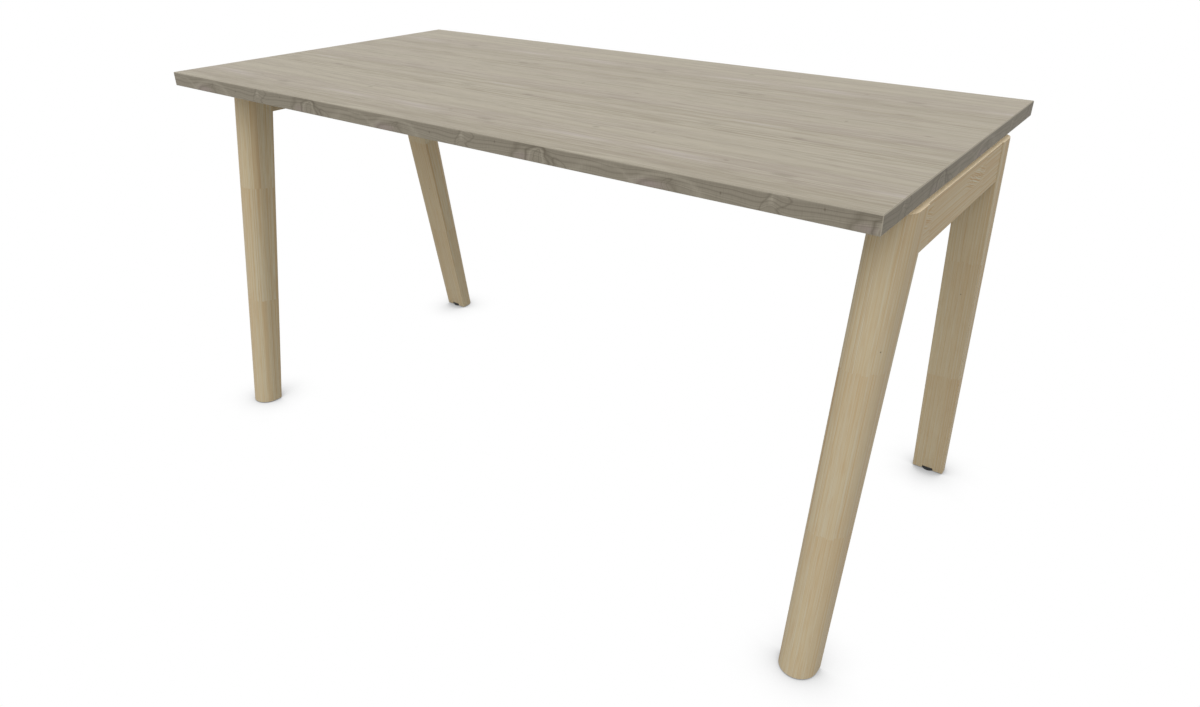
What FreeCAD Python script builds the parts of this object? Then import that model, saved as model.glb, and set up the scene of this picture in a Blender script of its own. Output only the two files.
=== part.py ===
"""Writing desk: a board top that floats on two splayed timber end frames.

Millimetres. The origin is on the floor under the middle of the top. +X runs along the desk to the
user's right, +Y points away from the user and +Z is up. Every sub-part goes to parts/NODE.step.
"""
import FreeCAD, Part
import os
from math import cos, pi, radians, sin, tan

# Whole desk
desk_height = 739.0
top_length = 1400.0
top_depth = 708.0
top_thickness = 25.0
top_float = 8.7          # clear gap between the end frames and the underside of the top

# Edge bands of the top
band_thickness = 2.0
band_radius = 1.5        # rounding of the bands' edges and of the top's corners

# Legs: flat on the inner side, a full bullnose on the outer side
leg_width = 60.0
leg_depth_top = 64.5
leg_depth_foot = 45.0
leg_clear_top = 362.0    # between the two legs of a frame, at their upper ends
leg_splay = 9.9          # degrees that a leg's inner face leans from upright
leg_overhang = 1.5       # how far a leg stands out past the end of the top
timber_easing = 1.0      # radius on the long edges of the legs and rails

# End rails
rail_height = 65.0
rail_thickness = 50.0
rail_setback = 2.0       # from the legs' outer faces

# Dowels between rails and legs
dowel_radius = 6.0
dowel_length = 70.0
dowel_chamfer = 1.0
dowel_edge_distance = 16.0   # from the rail's upper and lower edges
dowel_end_gap = 1.0          # room for glue at each end of a dowel's hole

# Steel tubes that tie the end frames together
beam_spacing = 210.0     # between the two tubes' middles
beam_height = 50.0
beam_width = 25.0
beam_wall = 2.0
beam_corner_radius = 3.0

# Plates welded to the tubes' ends
plate_thickness = 5.0
plate_width = 84.0
plate_corner_radius = 6.0
plate_hole_spacing = 64.0

# Machine screws through the plates, and the threaded inserts that take them
bolt_radius = 4.0
bolt_clearance = 0.3         # between a bolt and its hole in the plate
thread_chamfer = 0.8         # at the ends of the bolts and of the feet's stems
bolt_head_radius = 7.0
bolt_head_height = 4.4
bolt_socket = 5.0            # across flats
bolt_socket_depth = 2.6
insert_radius = 6.0
insert_length = 25.0
insert_chamfer = 0.8
insert_room = 4.0            # drilled past the end of a bolt or stem

# Spacers under the top, and the wood screws through them
spacer_radius = 12.0
spacer_chamfer = 0.6
rail_spacer_pitch = 100.0    # between the two spacers on a rail
beam_spacer_pitch = 450.0    # between neighbouring spacers on a tube
beam_spacer_count = 3
screw_radius = 2.5
screw_clearance = 0.5        # between a screw and its holes in rail, tube and spacer
screw_head_radius = 5.0
screw_head_height = 3.2
screw_socket = 4.0
screw_socket_depth = 1.8
screw_bite = 15.0            # depth of a screw in the top
screw_tip = 4.0
pilot_room = 1.0             # drilled past the tip of a wood screw
rail_screw_seat = 25.0       # timber left between a counterbore and the rail's top
driver_radius = 8.0          # counterbores and access holes for the screwdriver

# Levelling feet
foot_radius = 12.0
foot_height = 7.5
foot_chamfer = 1.0       # round the foot's lower edge
foot_reveal = 2.0        # how far a fully screwed-in foot shows below its leg
foot_setback = 9.2       # from the leg's inner face, at its end, to the foot's middle
foot_pocket_gap = 2.5    # between a foot and the wall of its pocket
stem_radius = 4.0
stem_length = 30.0
stem_head = 13.0         # across flats
stem_head_height = 5.0

# Fits
glue_gap = 0.05          # radial, dowels and inserts in timber, screws in their own threads
thread_gap = 0.05        # radial, a bolt or stem in its insert

# Worked out from the sizes above
frame_top = desk_height - top_thickness - top_float
frame_x = top_length / 2 + leg_overhang - leg_width / 2
rail_outer_x = frame_x + leg_width / 2 - rail_setback
rail_inner_x = rail_outer_x - rail_thickness
rail_mid_x = rail_outer_x - rail_thickness / 2
rail_bottom = frame_top - rail_height
beam_half_length = rail_inner_x - plate_thickness
beam_mid_z = frame_top - beam_height / 2
pocket_ceiling = foot_height

SIDES = {"left": -1, "right": 1}
FACES = {"front": -1, "rear": 1}
X_AXIS = FreeCAD.Vector(1, 0, 0)
Y_AXIS = FreeCAD.Vector(0, 1, 0)
Z_AXIS = FreeCAD.Vector(0, 0, 1)


def point(x, y, z):
    return FreeCAD.Vector(x, y, z)


def cylinder(radius, length, base, axis):
    return Part.makeCylinder(radius, length, base, axis)


def box_between(low, high):
    size = high - low
    return Part.makeBox(size.x, size.y, size.z, low)


def eased_bar(length, width, height, radius):
    """A bar along X, centred on the origin, with its four long edges rounded."""
    half = point(length / 2, width / 2, height / 2)
    bar = box_between(half * -1, half)
    long_edges = [edge for edge in bar.Edges if abs(edge.tangentAt(0).x) > 0.9]
    return bar.makeFillet(radius, long_edges)


def hexagon(across_flats, height, base):
    """An upright hexagonal prism standing on base."""
    corner_radius = across_flats / 2 / cos(pi / 6)
    corners = [base + point(corner_radius * cos(turn * pi / 3), corner_radius * sin(turn * pi / 3), 0)
               for turn in range(7)]
    return Part.Face(Part.makePolygon(corners)).extrude(Z_AXIS * height)


def turned(profile):
    """The solid turned about the Z axis from (radius, height) points that start and end on it."""
    outline = [point(radius, 0, height) for radius, height in profile]
    return Part.Face(Part.makePolygon(outline + outline[:1])).revolve(point(0, 0, 0), Z_AXIS, 360)


def aimed(shape, place, axis):
    """A copy of an upright shape, moved so that its +Z points along axis from place."""
    copy = shape.copy()
    copy.Placement = FreeCAD.Placement(place, FreeCAD.Rotation(Z_AXIS, axis))
    return copy


def mirrored(shape, side_x, side_y):
    """The shape of the rear right corner, mirrored to the corner with these signs."""
    if side_x < 0:
        shape = shape.mirror(point(0, 0, 0), X_AXIS)
    if side_y < 0:
        shape = shape.mirror(point(0, 0, 0), Y_AXIS)
    return shape


def leg_inner_y(z):
    """Distance from the desk's middle plane to a leg's inner face, at height z."""
    return leg_clear_top / 2 + (frame_top - z) * tan(radians(leg_splay))


# --- Top ---------------------------------------------------------------------------------------

def beam_spacer_xs():
    middle = (beam_spacer_count - 1) / 2
    return [(number - middle) * beam_spacer_pitch for number in range(beam_spacer_count)]


def rail_screw_places():
    """Where screws pass up through the rails, at the height of the frames' top."""
    return [point(side * rail_mid_x, face * rail_spacer_pitch / 2, frame_top)
            for side in SIDES.values() for face in FACES.values()]


def beam_screw_places():
    return [point(x, face * beam_spacing / 2, frame_top)
            for face in FACES.values() for x in beam_spacer_xs()]


def top_corner():
    return point(top_length / 2, top_depth / 2, desk_height)


def board_corner():
    return top_corner() - point(band_thickness, band_thickness, 0)


def centred_slab(corner):
    return box_between(point(-corner.x, -corner.y, desk_height - top_thickness), corner)


def make_top_board():
    board = centred_slab(board_corner())
    underside = desk_height - top_thickness
    for place in rail_screw_places() + beam_screw_places():
        pilot_base = point(place.x, place.y, underside)
        pilot = cylinder(screw_radius + glue_gap, screw_bite + pilot_room, pilot_base, Z_AXIS)
        board = board.cut(pilot)
    return board


def make_edge_bands():
    """The rounded rim of the top: full-length front and rear bands, with the side bands between."""
    slab = centred_slab(top_corner())
    rim = slab.makeFillet(band_radius, slab.Edges).cut(centred_slab(board_corner()))
    outer, inner = top_corner(), board_corner()
    base = desk_height - top_thickness
    front = rim.common(box_between(point(-outer.x, -outer.y, base), point(outer.x, -inner.y, desk_height)))
    right = rim.common(box_between(point(inner.x, -inner.y, base), point(outer.x, inner.y, desk_height)))
    return {
        "edge_band_front": front,
        "edge_band_rear": front.mirror(point(0, 0, 0), Y_AXIS),
        "edge_band_right": right,
        "edge_band_left": right.mirror(point(0, 0, 0), X_AXIS),
    }


# --- End frames --------------------------------------------------------------------------------

def leg_section(depth, z):
    """Level section of the rear right leg: eased inner corners, and a half circle outside."""
    half = leg_width / 2
    inner = leg_inner_y(z)
    nose = inner + depth - half
    ease = timber_easing
    ease_mid = ease * (1 - sin(pi / 4))

    def at(x, y):
        return point(frame_x + x, y, z)

    def line(start, end):
        return Part.LineSegment(at(*start), at(*end)).toShape()

    def arc(start, middle, end):
        return Part.Arc(at(*start), at(*middle), at(*end)).toShape()

    return Part.Wire([
        line((ease - half, inner), (half - ease, inner)),
        arc((half - ease, inner), (half - ease_mid, inner + ease_mid), (half, inner + ease)),
        line((half, inner + ease), (half, nose)),
        arc((half, nose), (0, nose + half), (-half, nose)),
        line((-half, nose), (-half, inner + ease)),
        arc((-half, inner + ease), (ease_mid - half, inner + ease_mid), (ease - half, inner)),
    ])


def dowel_places():
    """Where the rear right leg's dowels cross the joint, which leans with the leg."""
    heights = (frame_top - dowel_edge_distance, rail_bottom + dowel_edge_distance)
    return [point(rail_mid_x, leg_inner_y(z), z) for z in heights]


def dowel_holes():
    hole_length = dowel_length + 2 * dowel_end_gap
    return [cylinder(dowel_radius + glue_gap, hole_length, place - Y_AXIS * (hole_length / 2), Y_AXIS)
            for place in dowel_places()]


def foot_place():
    """The middle of the rear right foot, at the ceiling of its pocket."""
    return point(frame_x, leg_inner_y(foot_reveal) + foot_setback, pocket_ceiling)


def make_leg():
    """The rear right leg, lofted, with its dowel holes and the pocket and bore for its foot."""
    leg = Part.makeLoft([leg_section(leg_depth_foot, foot_reveal), leg_section(leg_depth_top, frame_top)],
                        True, True)
    pocket_base = point(foot_place().x, foot_place().y, 0)
    pocket = cylinder(foot_radius + foot_pocket_gap, pocket_ceiling, pocket_base, Z_AXIS)
    bore_depth = max(stem_length, insert_length) + insert_room
    bore = cylinder(insert_radius + glue_gap, bore_depth, foot_place(), Z_AXIS)
    for tool in [pocket, bore] + dowel_holes():
        leg = leg.cut(tool)
    return leg


def plate_bolt_places():
    """Where the right-hand end plates' bolts meet the rail's inner face."""
    return [point(rail_inner_x, face * beam_spacing / 2 + hole * plate_hole_spacing / 2, beam_mid_z)
            for face in FACES.values() for hole in (-1, 1)]


def make_rail():
    """The right-hand rail, its ends cut to the lean of the legs."""
    def corner(side, z):
        return point(rail_inner_x, side * leg_inner_y(z), z)

    outline = [corner(-1, frame_top), corner(1, frame_top), corner(1, rail_bottom), corner(-1, rail_bottom),
               corner(-1, frame_top)]
    rail = Part.Face(Part.makePolygon(outline)).extrude(X_AXIS * rail_thickness)
    long_edges = [edge for edge in rail.Edges if abs(edge.tangentAt(0).y) > 0.9]
    rail = rail.makeFillet(timber_easing, long_edges)
    tools = dowel_holes()
    tools += [hole.mirror(point(0, 0, 0), Y_AXIS) for hole in dowel_holes()]
    insert_bore_depth = max(insert_length, bolt_length() - plate_thickness) + insert_room
    tools += [cylinder(insert_radius + glue_gap, insert_bore_depth, place, X_AXIS)
              for place in plate_bolt_places()]
    for place in rail_screw_places():
        base = place - Z_AXIS * rail_height
        tools.append(cylinder(screw_radius + screw_clearance, rail_height, base, Z_AXIS))
        tools.append(cylinder(driver_radius, rail_height - rail_screw_seat, base, Z_AXIS))
    for tool in tools:
        rail = rail.cut(tool)
    return rail


def make_dowels():
    """All glued dowels, each chamfered at both ends."""
    half = dowel_length / 2
    dowel = turned([(0, -half), (dowel_radius - dowel_chamfer, -half), (dowel_radius, dowel_chamfer - half),
                    (dowel_radius, half - dowel_chamfer), (dowel_radius - dowel_chamfer, half), (0, half)])
    corner = [aimed(dowel, place, Y_AXIS) for place in dowel_places()]
    return Part.makeCompound([mirrored(solid, side, face) for side in SIDES.values()
                              for face in FACES.values() for solid in corner])


# --- Ties between the end frames ---------------------------------------------------------------

def make_beam():
    """The rear tube, with screw holes in its upper wall and driver holes in its lower one."""
    length = 2 * beam_half_length
    tube = eased_bar(length, beam_width, beam_height, beam_corner_radius)
    hollow = eased_bar(length, beam_width - 2 * beam_wall, beam_height - 2 * beam_wall,
                       max(beam_corner_radius - beam_wall, beam_wall / 4))
    tube = tube.cut(hollow)
    for x in beam_spacer_xs():
        tube = tube.cut(cylinder(screw_radius + screw_clearance, beam_height / 2, point(x, 0, 0), Z_AXIS))
        tube = tube.cut(cylinder(driver_radius, beam_height / 2, point(x, 0, -beam_height / 2), Z_AXIS))
    tube.translate(point(0, beam_spacing / 2, beam_mid_z))
    return tube


def make_plate():
    """The rear right end plate, flat against the rail's inner face."""
    plate = eased_bar(plate_thickness, plate_width, beam_height, plate_corner_radius)
    for hole in (-1, 1):
        start = point(-plate_thickness, hole * plate_hole_spacing / 2, 0)
        plate = plate.cut(cylinder(bolt_radius + bolt_clearance, 2 * plate_thickness, start, X_AXIS))
    plate.translate(point(rail_inner_x - plate_thickness / 2, beam_spacing / 2, beam_mid_z))
    return plate


def bolt_length():
    """A plate bolt reaches the far end of its insert."""
    return plate_thickness + insert_length


def make_bolt():
    """A button-head socket screw pointing up, with its head under the origin."""
    rim = bolt_head_height / 4
    crown = bolt_head_radius * 0.55
    body = turned([(0, -bolt_head_height), (crown, -bolt_head_height), (bolt_head_radius, -rim),
                   (bolt_head_radius, 0), (bolt_radius, 0), (bolt_radius, bolt_length() - thread_chamfer),
                   (bolt_radius - thread_chamfer, bolt_length()), (0, bolt_length())])
    return body.cut(hexagon(bolt_socket, bolt_socket_depth, point(0, 0, -bolt_head_height)))


def make_insert(thread_radius):
    """A threaded insert whose mouth is at the origin and whose body runs up."""
    outer, bore = insert_radius, thread_radius + thread_gap
    profile = [(bore, 0), (outer - insert_chamfer, 0), (outer, insert_chamfer),
               (outer, insert_length - insert_chamfer), (outer - insert_chamfer, insert_length),
               (bore, insert_length)]
    return turned(profile)


def both_ends(solid):
    return [solid, solid.mirror(point(0, 0, 0), X_AXIS)]


def make_plate_bolts():
    """The plate bolts of both ends."""
    bolt = make_bolt()
    seats = [place - X_AXIS * plate_thickness for place in plate_bolt_places()]
    return Part.makeCompound([copy for seat in seats for copy in both_ends(aimed(bolt, seat, X_AXIS))])


def make_rail_inserts():
    insert = make_insert(bolt_radius)
    return Part.makeCompound([copy for place in plate_bolt_places()
                              for copy in both_ends(aimed(insert, place, X_AXIS))])


# --- Spacers and screws that carry the top -----------------------------------------------------

def make_spacers():
    bore, outer, rim = screw_radius + screw_clearance, spacer_radius, spacer_radius - spacer_chamfer
    spacer = turned([(bore, 0), (rim, 0), (outer, spacer_chamfer), (outer, top_float - spacer_chamfer),
                     (rim, top_float), (bore, top_float)])
    places = rail_screw_places() + beam_screw_places()
    return Part.makeCompound([aimed(spacer, place, Z_AXIS) for place in places])


def make_wood_screw(seat):
    """A screw pointing up whose head seats this far below the frames' top."""
    length = seat + top_float + screw_bite
    rim = screw_head_height / 2
    crown = screw_head_radius * 0.6
    body = turned([(0, -screw_head_height), (crown, -screw_head_height), (screw_head_radius, -rim),
                   (screw_head_radius, 0), (screw_radius, 0), (screw_radius, length - screw_tip),
                   (0, length)])
    return body.cut(hexagon(screw_socket, screw_socket_depth, point(0, 0, -screw_head_height)))


def make_wood_screws(places, seat):
    screw = make_wood_screw(seat)
    return Part.makeCompound([aimed(screw, place - Z_AXIS * seat, Z_AXIS) for place in places])


# --- Levelling feet ----------------------------------------------------------------------------

def make_foot_pad():
    """The rear right foot: a chamfered disc with a socket moulded round its stem's head."""
    pad = turned([(0, 0), (foot_radius - foot_chamfer, 0), (foot_radius, foot_chamfer),
                  (foot_radius, foot_height), (0, foot_height)])
    head_room = stem_head_height + glue_gap
    pad = pad.cut(hexagon(stem_head + 2 * glue_gap, head_room, point(0, 0, foot_height - head_room)))
    pad.translate(foot_place() - Z_AXIS * foot_height)
    return pad


def make_stem():
    """The rear right foot's stem, its hexagon head flush with the foot's upper face."""
    shank = turned([(0, -stem_head_height / 2), (stem_radius, -stem_head_height / 2),
                    (stem_radius, stem_length - thread_chamfer), (stem_radius - thread_chamfer, stem_length),
                    (0, stem_length)])
    stem = hexagon(stem_head, stem_head_height, point(0, 0, -stem_head_height)).fuse(shank).removeSplitter()
    stem.translate(foot_place())
    return stem


def make_leg_inserts():
    corner = aimed(make_insert(stem_radius), foot_place(), Z_AXIS)
    return Part.makeCompound([mirrored(corner, side, face)
                              for side in SIDES.values() for face in FACES.values()])


# --- Whole desk --------------------------------------------------------------------------------

def make_desk():
    """Every sub-part by node name."""
    nodes = {"top_board": make_top_board()}
    nodes.update(make_edge_bands())
    leg, plate, pad, stem = make_leg(), make_plate(), make_foot_pad(), make_stem()
    rail, beam = make_rail(), make_beam()
    for end, side in SIDES.items():
        nodes["rail_" + end] = mirrored(rail, side, 1)
        for face, facing in FACES.items():
            corner = face + "_" + end
            nodes["leg_" + corner] = mirrored(leg, side, facing)
            nodes["beam_plate_" + corner] = mirrored(plate, side, facing)
            nodes["foot_pad_" + corner] = mirrored(pad, side, facing)
            nodes["foot_stem_" + corner] = mirrored(stem, side, facing)
    for face, facing in FACES.items():
        nodes["beam_" + face] = mirrored(beam, 1, facing)
    nodes["frame_dowels"] = make_dowels()
    nodes["beam_plate_bolts"] = make_plate_bolts()
    nodes["rail_inserts"] = make_rail_inserts()
    nodes["leg_inserts"] = make_leg_inserts()
    nodes["top_spacers"] = make_spacers()
    nodes["top_screws_rails"] = make_wood_screws(rail_screw_places(), rail_screw_seat)
    nodes["top_screws_beams"] = make_wood_screws(beam_screw_places(), beam_wall)
    return nodes


os.makedirs("parts", exist_ok=True)
for name, shape in make_desk().items():
    shape.exportStep(os.path.join("parts", name + ".step"))
    print(f"{name:28s} {len(shape.Solids):3d} solids {shape.Volume / 1000:10.2f} cm3")
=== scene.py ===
"""Writing desk: the looks of its board, timber end frames, steelwork and feet, and the stage round it.

Laid out as a Blender add-on and run as a script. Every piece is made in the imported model's own frame,
in metres: the origin is on the floor under the middle of the top, -Y is the user's side and +Z is up.
"""
from math import cos, pi, radians, sin, tan

import bmesh
import bpy
from bpy.props import FloatProperty, FloatVectorProperty, IntProperty, PointerProperty
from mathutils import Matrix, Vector


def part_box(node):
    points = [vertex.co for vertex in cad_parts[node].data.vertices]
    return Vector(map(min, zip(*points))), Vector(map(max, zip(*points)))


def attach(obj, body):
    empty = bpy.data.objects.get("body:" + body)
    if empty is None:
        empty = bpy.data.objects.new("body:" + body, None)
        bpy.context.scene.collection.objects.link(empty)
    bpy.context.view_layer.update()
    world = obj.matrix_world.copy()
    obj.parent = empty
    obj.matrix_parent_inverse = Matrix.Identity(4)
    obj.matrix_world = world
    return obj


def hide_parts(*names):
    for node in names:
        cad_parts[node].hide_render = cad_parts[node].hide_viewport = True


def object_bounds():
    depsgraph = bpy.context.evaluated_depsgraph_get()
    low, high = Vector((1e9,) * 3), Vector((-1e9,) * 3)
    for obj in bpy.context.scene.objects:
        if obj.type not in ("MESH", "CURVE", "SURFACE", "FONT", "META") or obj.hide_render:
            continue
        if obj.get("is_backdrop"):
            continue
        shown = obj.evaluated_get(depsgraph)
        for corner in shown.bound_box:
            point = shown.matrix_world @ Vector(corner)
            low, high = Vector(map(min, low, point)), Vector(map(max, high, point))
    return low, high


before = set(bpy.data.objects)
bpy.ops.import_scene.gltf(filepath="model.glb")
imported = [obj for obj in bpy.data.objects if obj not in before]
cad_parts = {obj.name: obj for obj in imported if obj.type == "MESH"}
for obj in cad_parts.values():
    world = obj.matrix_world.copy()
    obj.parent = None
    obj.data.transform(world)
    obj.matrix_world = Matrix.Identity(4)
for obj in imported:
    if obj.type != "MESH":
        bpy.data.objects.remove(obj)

bl_info = {
    "name": "Writing Desk",
    "version": (1, 0, 0),
    "blender": (4, 5, 0),
    "location": "View3D > Sidebar > Desk",
    "description": "Dresses a packed writing desk and sets its stage",
    "category": "Object",
}

MM = 0.001
SIDES = {"left": -1, "right": 1}
FACES = {"front": -1, "rear": 1}
CORNERS = [(face, side) for side in SIDES for face in FACES]
ZINC, POLYAMIDE = "Steel, bright zinc plated", "Polyamide, moulded black"
SMOOTH_UNDER = radians(32)     # faces that meet at a smaller angle are shaded as one surface
OVERSHOOT = 1 * MM             # how far a cutting tool reaches past the face that it cuts through
NOISE_LOW, NOISE_HIGH = 0.3, 0.7     # most of a noise lies between these values
FLAT = 1000                    # half size of an oval along the axis that its place doesn't use, in mm

# Whole blocks of timber added to the grain, so that each leg and rail is cut from timber of its own:
# to the first one, and to each one after it.
LEG_BLOCKS, RAIL_BLOCKS = (3, 6), (45, 5)


# --- Settings ------------------------------------------------------------------------------------

def linear(hex_colour):
    """An sRGB hex colour as linear red, green, blue and alpha."""
    channels = [int(hex_colour[start:start + 2], 16) / 255 for start in (0, 2, 4)]
    return [c / 12.92 if c <= 0.04045 else ((c + 0.055) / 1.055) ** 2.4 for c in channels] + [1.0]


def colour(label, hex_colour, description):
    return FloatVectorProperty(name=label, description=description, subtype="COLOR", size=4,
                               min=0, max=1, default=linear(hex_colour))


def length(label, millimetres, description):
    return FloatProperty(name=label, description=description, unit="LENGTH", min=0,
                         default=millimetres * MM)


def angle(label, degrees, description):
    return FloatProperty(name=label, description=description, subtype="ANGLE", unit="ROTATION",
                         default=radians(degrees))


class BoardSettings(bpy.types.PropertyGroup):
    beige: colour("Beige", "A49B8A", "Main tone of the wood print")
    pale: colour("Pale", "B2AA98", "Light bands and streaks")
    dark: colour("Dark", "998F7C", "Dark bands and streaks")
    rose: colour("Rose grey", "A4998C", "Pinkish grey bands")
    lilac: colour("Lilac", "B8AFA9", "Pale pinkish streaks")
    knot: colour("Knot", "766D5E", "Small knots and dashes")
    backing: colour("Backing", "E2DDD1", "Plain foil on the underside")
    print_repeat: length("Print repeat", 500, "Distance after which the wood print repeats, both ways")
    band_strength: FloatProperty(name="Band strength", default=0.65, min=0, max=1,
                                 description="How far the bands' tones leave the main tone")
    streak_length: length("Streak length", 230, "Length of a streak in the print")
    streak_width: length("Streak width", 6, "Width of a streak in the print")
    band_beige: colour("Band beige", "8A8375", "Main tone of the edge bands")
    # Band dark also paints shade over the side bands.
    band_dark: colour("Band dark", "655E51", "Dark figure lines of the edge bands")
    # Band pale also paints the rounding: partly the milled ABS, partly a painted highlight along the
    # edges.
    band_pale: colour("Band pale", "A39C8D", "Pale figure lines and the milled rounding")
    band_rose: colour("Band rose", "938781", "Pinkish hearts of the figures")
    figure_pitch: length("Figure pitch", 4, "Distance between two figure lines")
    side_shift: length("Side shift", 200, "How much further along the roll the side bands start")
    band_rounding: length("Edge rounding", 1.5, "Radius on the edge bands' outer edges")


class TimberSettings(bpy.types.PropertyGroup):
    early: colour("Earlywood", "C0B293", "Pale wood between the growth lines")
    # Also painted shade: the legs' outer faces get this darker tone, and their inner faces the paler
    # early tone.
    heart: colour("Heart side", "B8A98B", "The same, on the side of a stave next to the heartwood")
    late: colour("Latewood", "AD9068", "Growth lines and brown streaks")
    sap: colour("Sapwood", "BDB9A6", "Greyish pale streaks")
    flame: colour("Flame", "C2C0AC", "Pale strokes in the knots")
    speck: colour("Speck", "4A3A28", "Pin knots")
    # Painted light: the faces that point straight up lie in the board's shade, and are painted this
    # pale tone.
    planed: colour("Planed top", "FFEDCC", "Upper faces, planed and left without lacquer")
    ring_spacing: length("Growth ring", 1.3, "Distance between growth lines")
    stroke_width: length("Flame stroke", 1.5, "Half the distance between two strokes of a knot's flame")
    pith_across: length("Pith, across", 240, "From the piece's middle to the heart of the log, across")
    pith_outward: length("Pith, outward", 120, "The same, outwards from the piece's inner face")
    stave_width: length("Stave width", 60, "Over which the tone goes from the pale to the heart side")
    rail_cut: FloatProperty(name="Rail cut", default=0.6, min=0.1, description="How close the rails' "
                            "growth lines lie, as a share of the legs'")
    clear_blocks: IntProperty(name="Clear blocks", default=40, min=0,
                              description="Blocks cut before the first knotty one")
    block_length: length("Block length", 250, "Length of one finger-jointed block")
    leg_first_joint: length("First joint", 224, "From a leg's upper end to its first finger joint")
    finger_length: length("Finger length", 5, "Depth of the fingers in a joint")
    finger_width: length("Finger width", 9, "Width of one finger")
    leg_splay: angle("Leg splay", 9.9, "How far a leg's inner face leans from upright")
    leg_depth_top: length("Leg depth, top", 64.5, "Front to back size of a leg at its upper end")
    easing: length("Easing", 1, "Radius on the long edges of legs and rails")
    pocket_gap: length("Foot pocket gap", 2.5, "Between a foot and the wall of its pocket")
    insert_bore: length("Insert bore", 6.05, "Radius of the bore for a leg's threaded insert")
    bore_beyond: length("Bore beyond", 4, "How much deeper that bore goes than the insert")
    nose_steps: IntProperty(name="Nose steps", default=20, min=4, max=64,
                            description="Faces round each corner of a leg")


class SteelSettings(bpy.types.PropertyGroup):
    coat: colour("Powder coat", "26272A", "Fine-texture powder coat on tubes and plates")
    zinc: colour("Zinc", "C4C7CA", "Bright zinc plating on screws and stems")
    plastic: colour("Polyamide", "1E1F20", "Moulded feet and spacers")
    tube_corner: length("Tube corner", 3, "Outer corner radius of the tubes")
    tube_wall: length("Tube wall", 2, "Wall of the tubes")
    plate_corner: length("Plate corner", 6, "Corner radius of the end plates")
    plate_edge: length("Plate edge", 0.5, "Width of the dressed edges of the end plates")
    plate_hole: length("Plate hole", 4.3, "Radius of the bolt holes in the end plates")
    bolt_spacing: length("Bolt spacing", 64, "Between the two bolts of an end plate")
    weld_bead: length("Weld bead", 1.8, "Radius of the bead round a tube's end")
    weld_pitch: length("Weld pitch", 2.4, "Distance between two ripples of the bead")
    rail_spacer_pitch: length("Rail spacer pitch", 100, "Between the two spacers on a rail")
    beam_spacer_pitch: length("Beam spacer pitch", 450, "Between neighbouring spacers on a tube")
    screw_hole: length("Screw hole", 3, "Radius of the holes that the wood screws pass through")
    driver_hole: length("Driver hole", 8, "Radius of the holes that a screwdriver passes through")
    screw_head: length("Screw head", 3.2, "Height of the wood screws' heads")
    rail_seat: length("Rail seat", 25, "Timber between a screw's head and the rail's top")
    stem_radius: length("Stem radius", 4, "Radius of the feet's stems, over their thread")
    stem_head: length("Stem head", 7.5, "Radius of the hexagon head that is moulded into a foot")
    thread_pitch: length("Thread pitch", 1.25, "Pitch of the feet's stems")
    thread_depth: length("Thread depth", 0.6, "Depth of that thread")


class StageSettings(bpy.types.PropertyGroup):
    camera: FloatVectorProperty(name="Camera", description="Where the camera stands", unit="LENGTH",
                                size=3, default=(0.9726, -1.2478, 1.0486))
    camera_yaw: angle("Camera yaw", 36.147, "Turned left from looking along +Y")
    camera_pitch: angle("Camera pitch", 28.507, "Tilted down from level")
    lens: FloatProperty(name="Lens", description="Focal length on a 36 mm wide picture",
                        unit="CAMERA", default=25.64, min=1)
    floor: colour("Floor", "BCBCBC", "What the floor throws back on the desk")
    floor_size: length("Floor size", 30000, "Length of the floor's sides")
    contact_reach: length("Contact shadow", 120, "How far the soft shadow round a foot reaches")
    dome: FloatProperty(name="Dome", default=0.725, min=0,
                        description="Light from all round, above the floor")
    lamp: FloatProperty(name="Lamp", default=1.3, min=0,
                        description="Irradiance of the soft lamp, in W/m2")
    lamp_azimuth: angle("Lamp azimuth", -79, "Where the lamp stands, turned from +X towards +Y")
    lamp_height: angle("Lamp height", 40, "Lamp's height above the horizon")
    lamp_softness: angle("Lamp softness", 50, "How wide the lamp looks from the desk")


# --- Nodes ---------------------------------------------------------------------------------------

def add(tree, kind, inputs=None, ramp=(), **settings):
    """Adds a node. inputs maps a socket's name or number to a value, or to a node or output to link."""
    node = tree.nodes.new(kind)
    for key, value in settings.items():
        setattr(node, key, value)
    if ramp:
        stops = node.color_ramp.elements
        for number, (position, tone) in enumerate(ramp):
            stop = stops[number] if number < 2 else stops.new(position)
            stop.position, stop.color = position, tone
    for key, value in (inputs or {}).items():
        socket = node.inputs[key] if isinstance(key, int) else next(
            one for one in node.inputs if one.enabled and one.name == key)
        if isinstance(value, bpy.types.Node):
            value = next(one for one in value.outputs if one.enabled)
        if isinstance(value, bpy.types.NodeSocket):
            tree.links.new(value, socket)
        else:
            socket.default_value = value
    return node


def grey(level):
    """A ramp stop's colour that stands for a number."""
    return (level, level, level, 1.0)


def new_material(name):
    """An empty material and its node tree."""
    material = bpy.data.materials.new(name)
    material.use_nodes = True
    material.node_tree.nodes.clear()
    return material, material.node_tree


def surface(tree, tone, bump, roughness, even):
    """A material's shader and output.

    bump is a pattern, its strength and its height. roughness is a pattern, and the roughness where it
    is low and where it is high. even holds the shader's values that are the same all over.
    """
    relief, strength, distance = bump
    pattern, low, high = roughness
    shader = add(tree, "ShaderNodeBsdfPrincipled", {
        "Base Color": tone,
        "Normal": add(tree, "ShaderNodeBump", {
            "Height": relief, "Strength": strength, "Distance": distance}),
        "Roughness": add(tree, "ShaderNodeMapRange", {
            "Value": pattern, "From Min": NOISE_LOW, "From Max": NOISE_HIGH,
            "To Min": low, "To Max": high}),
        **even})
    add(tree, "ShaderNodeOutputMaterial", {"Surface": shader})


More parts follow.
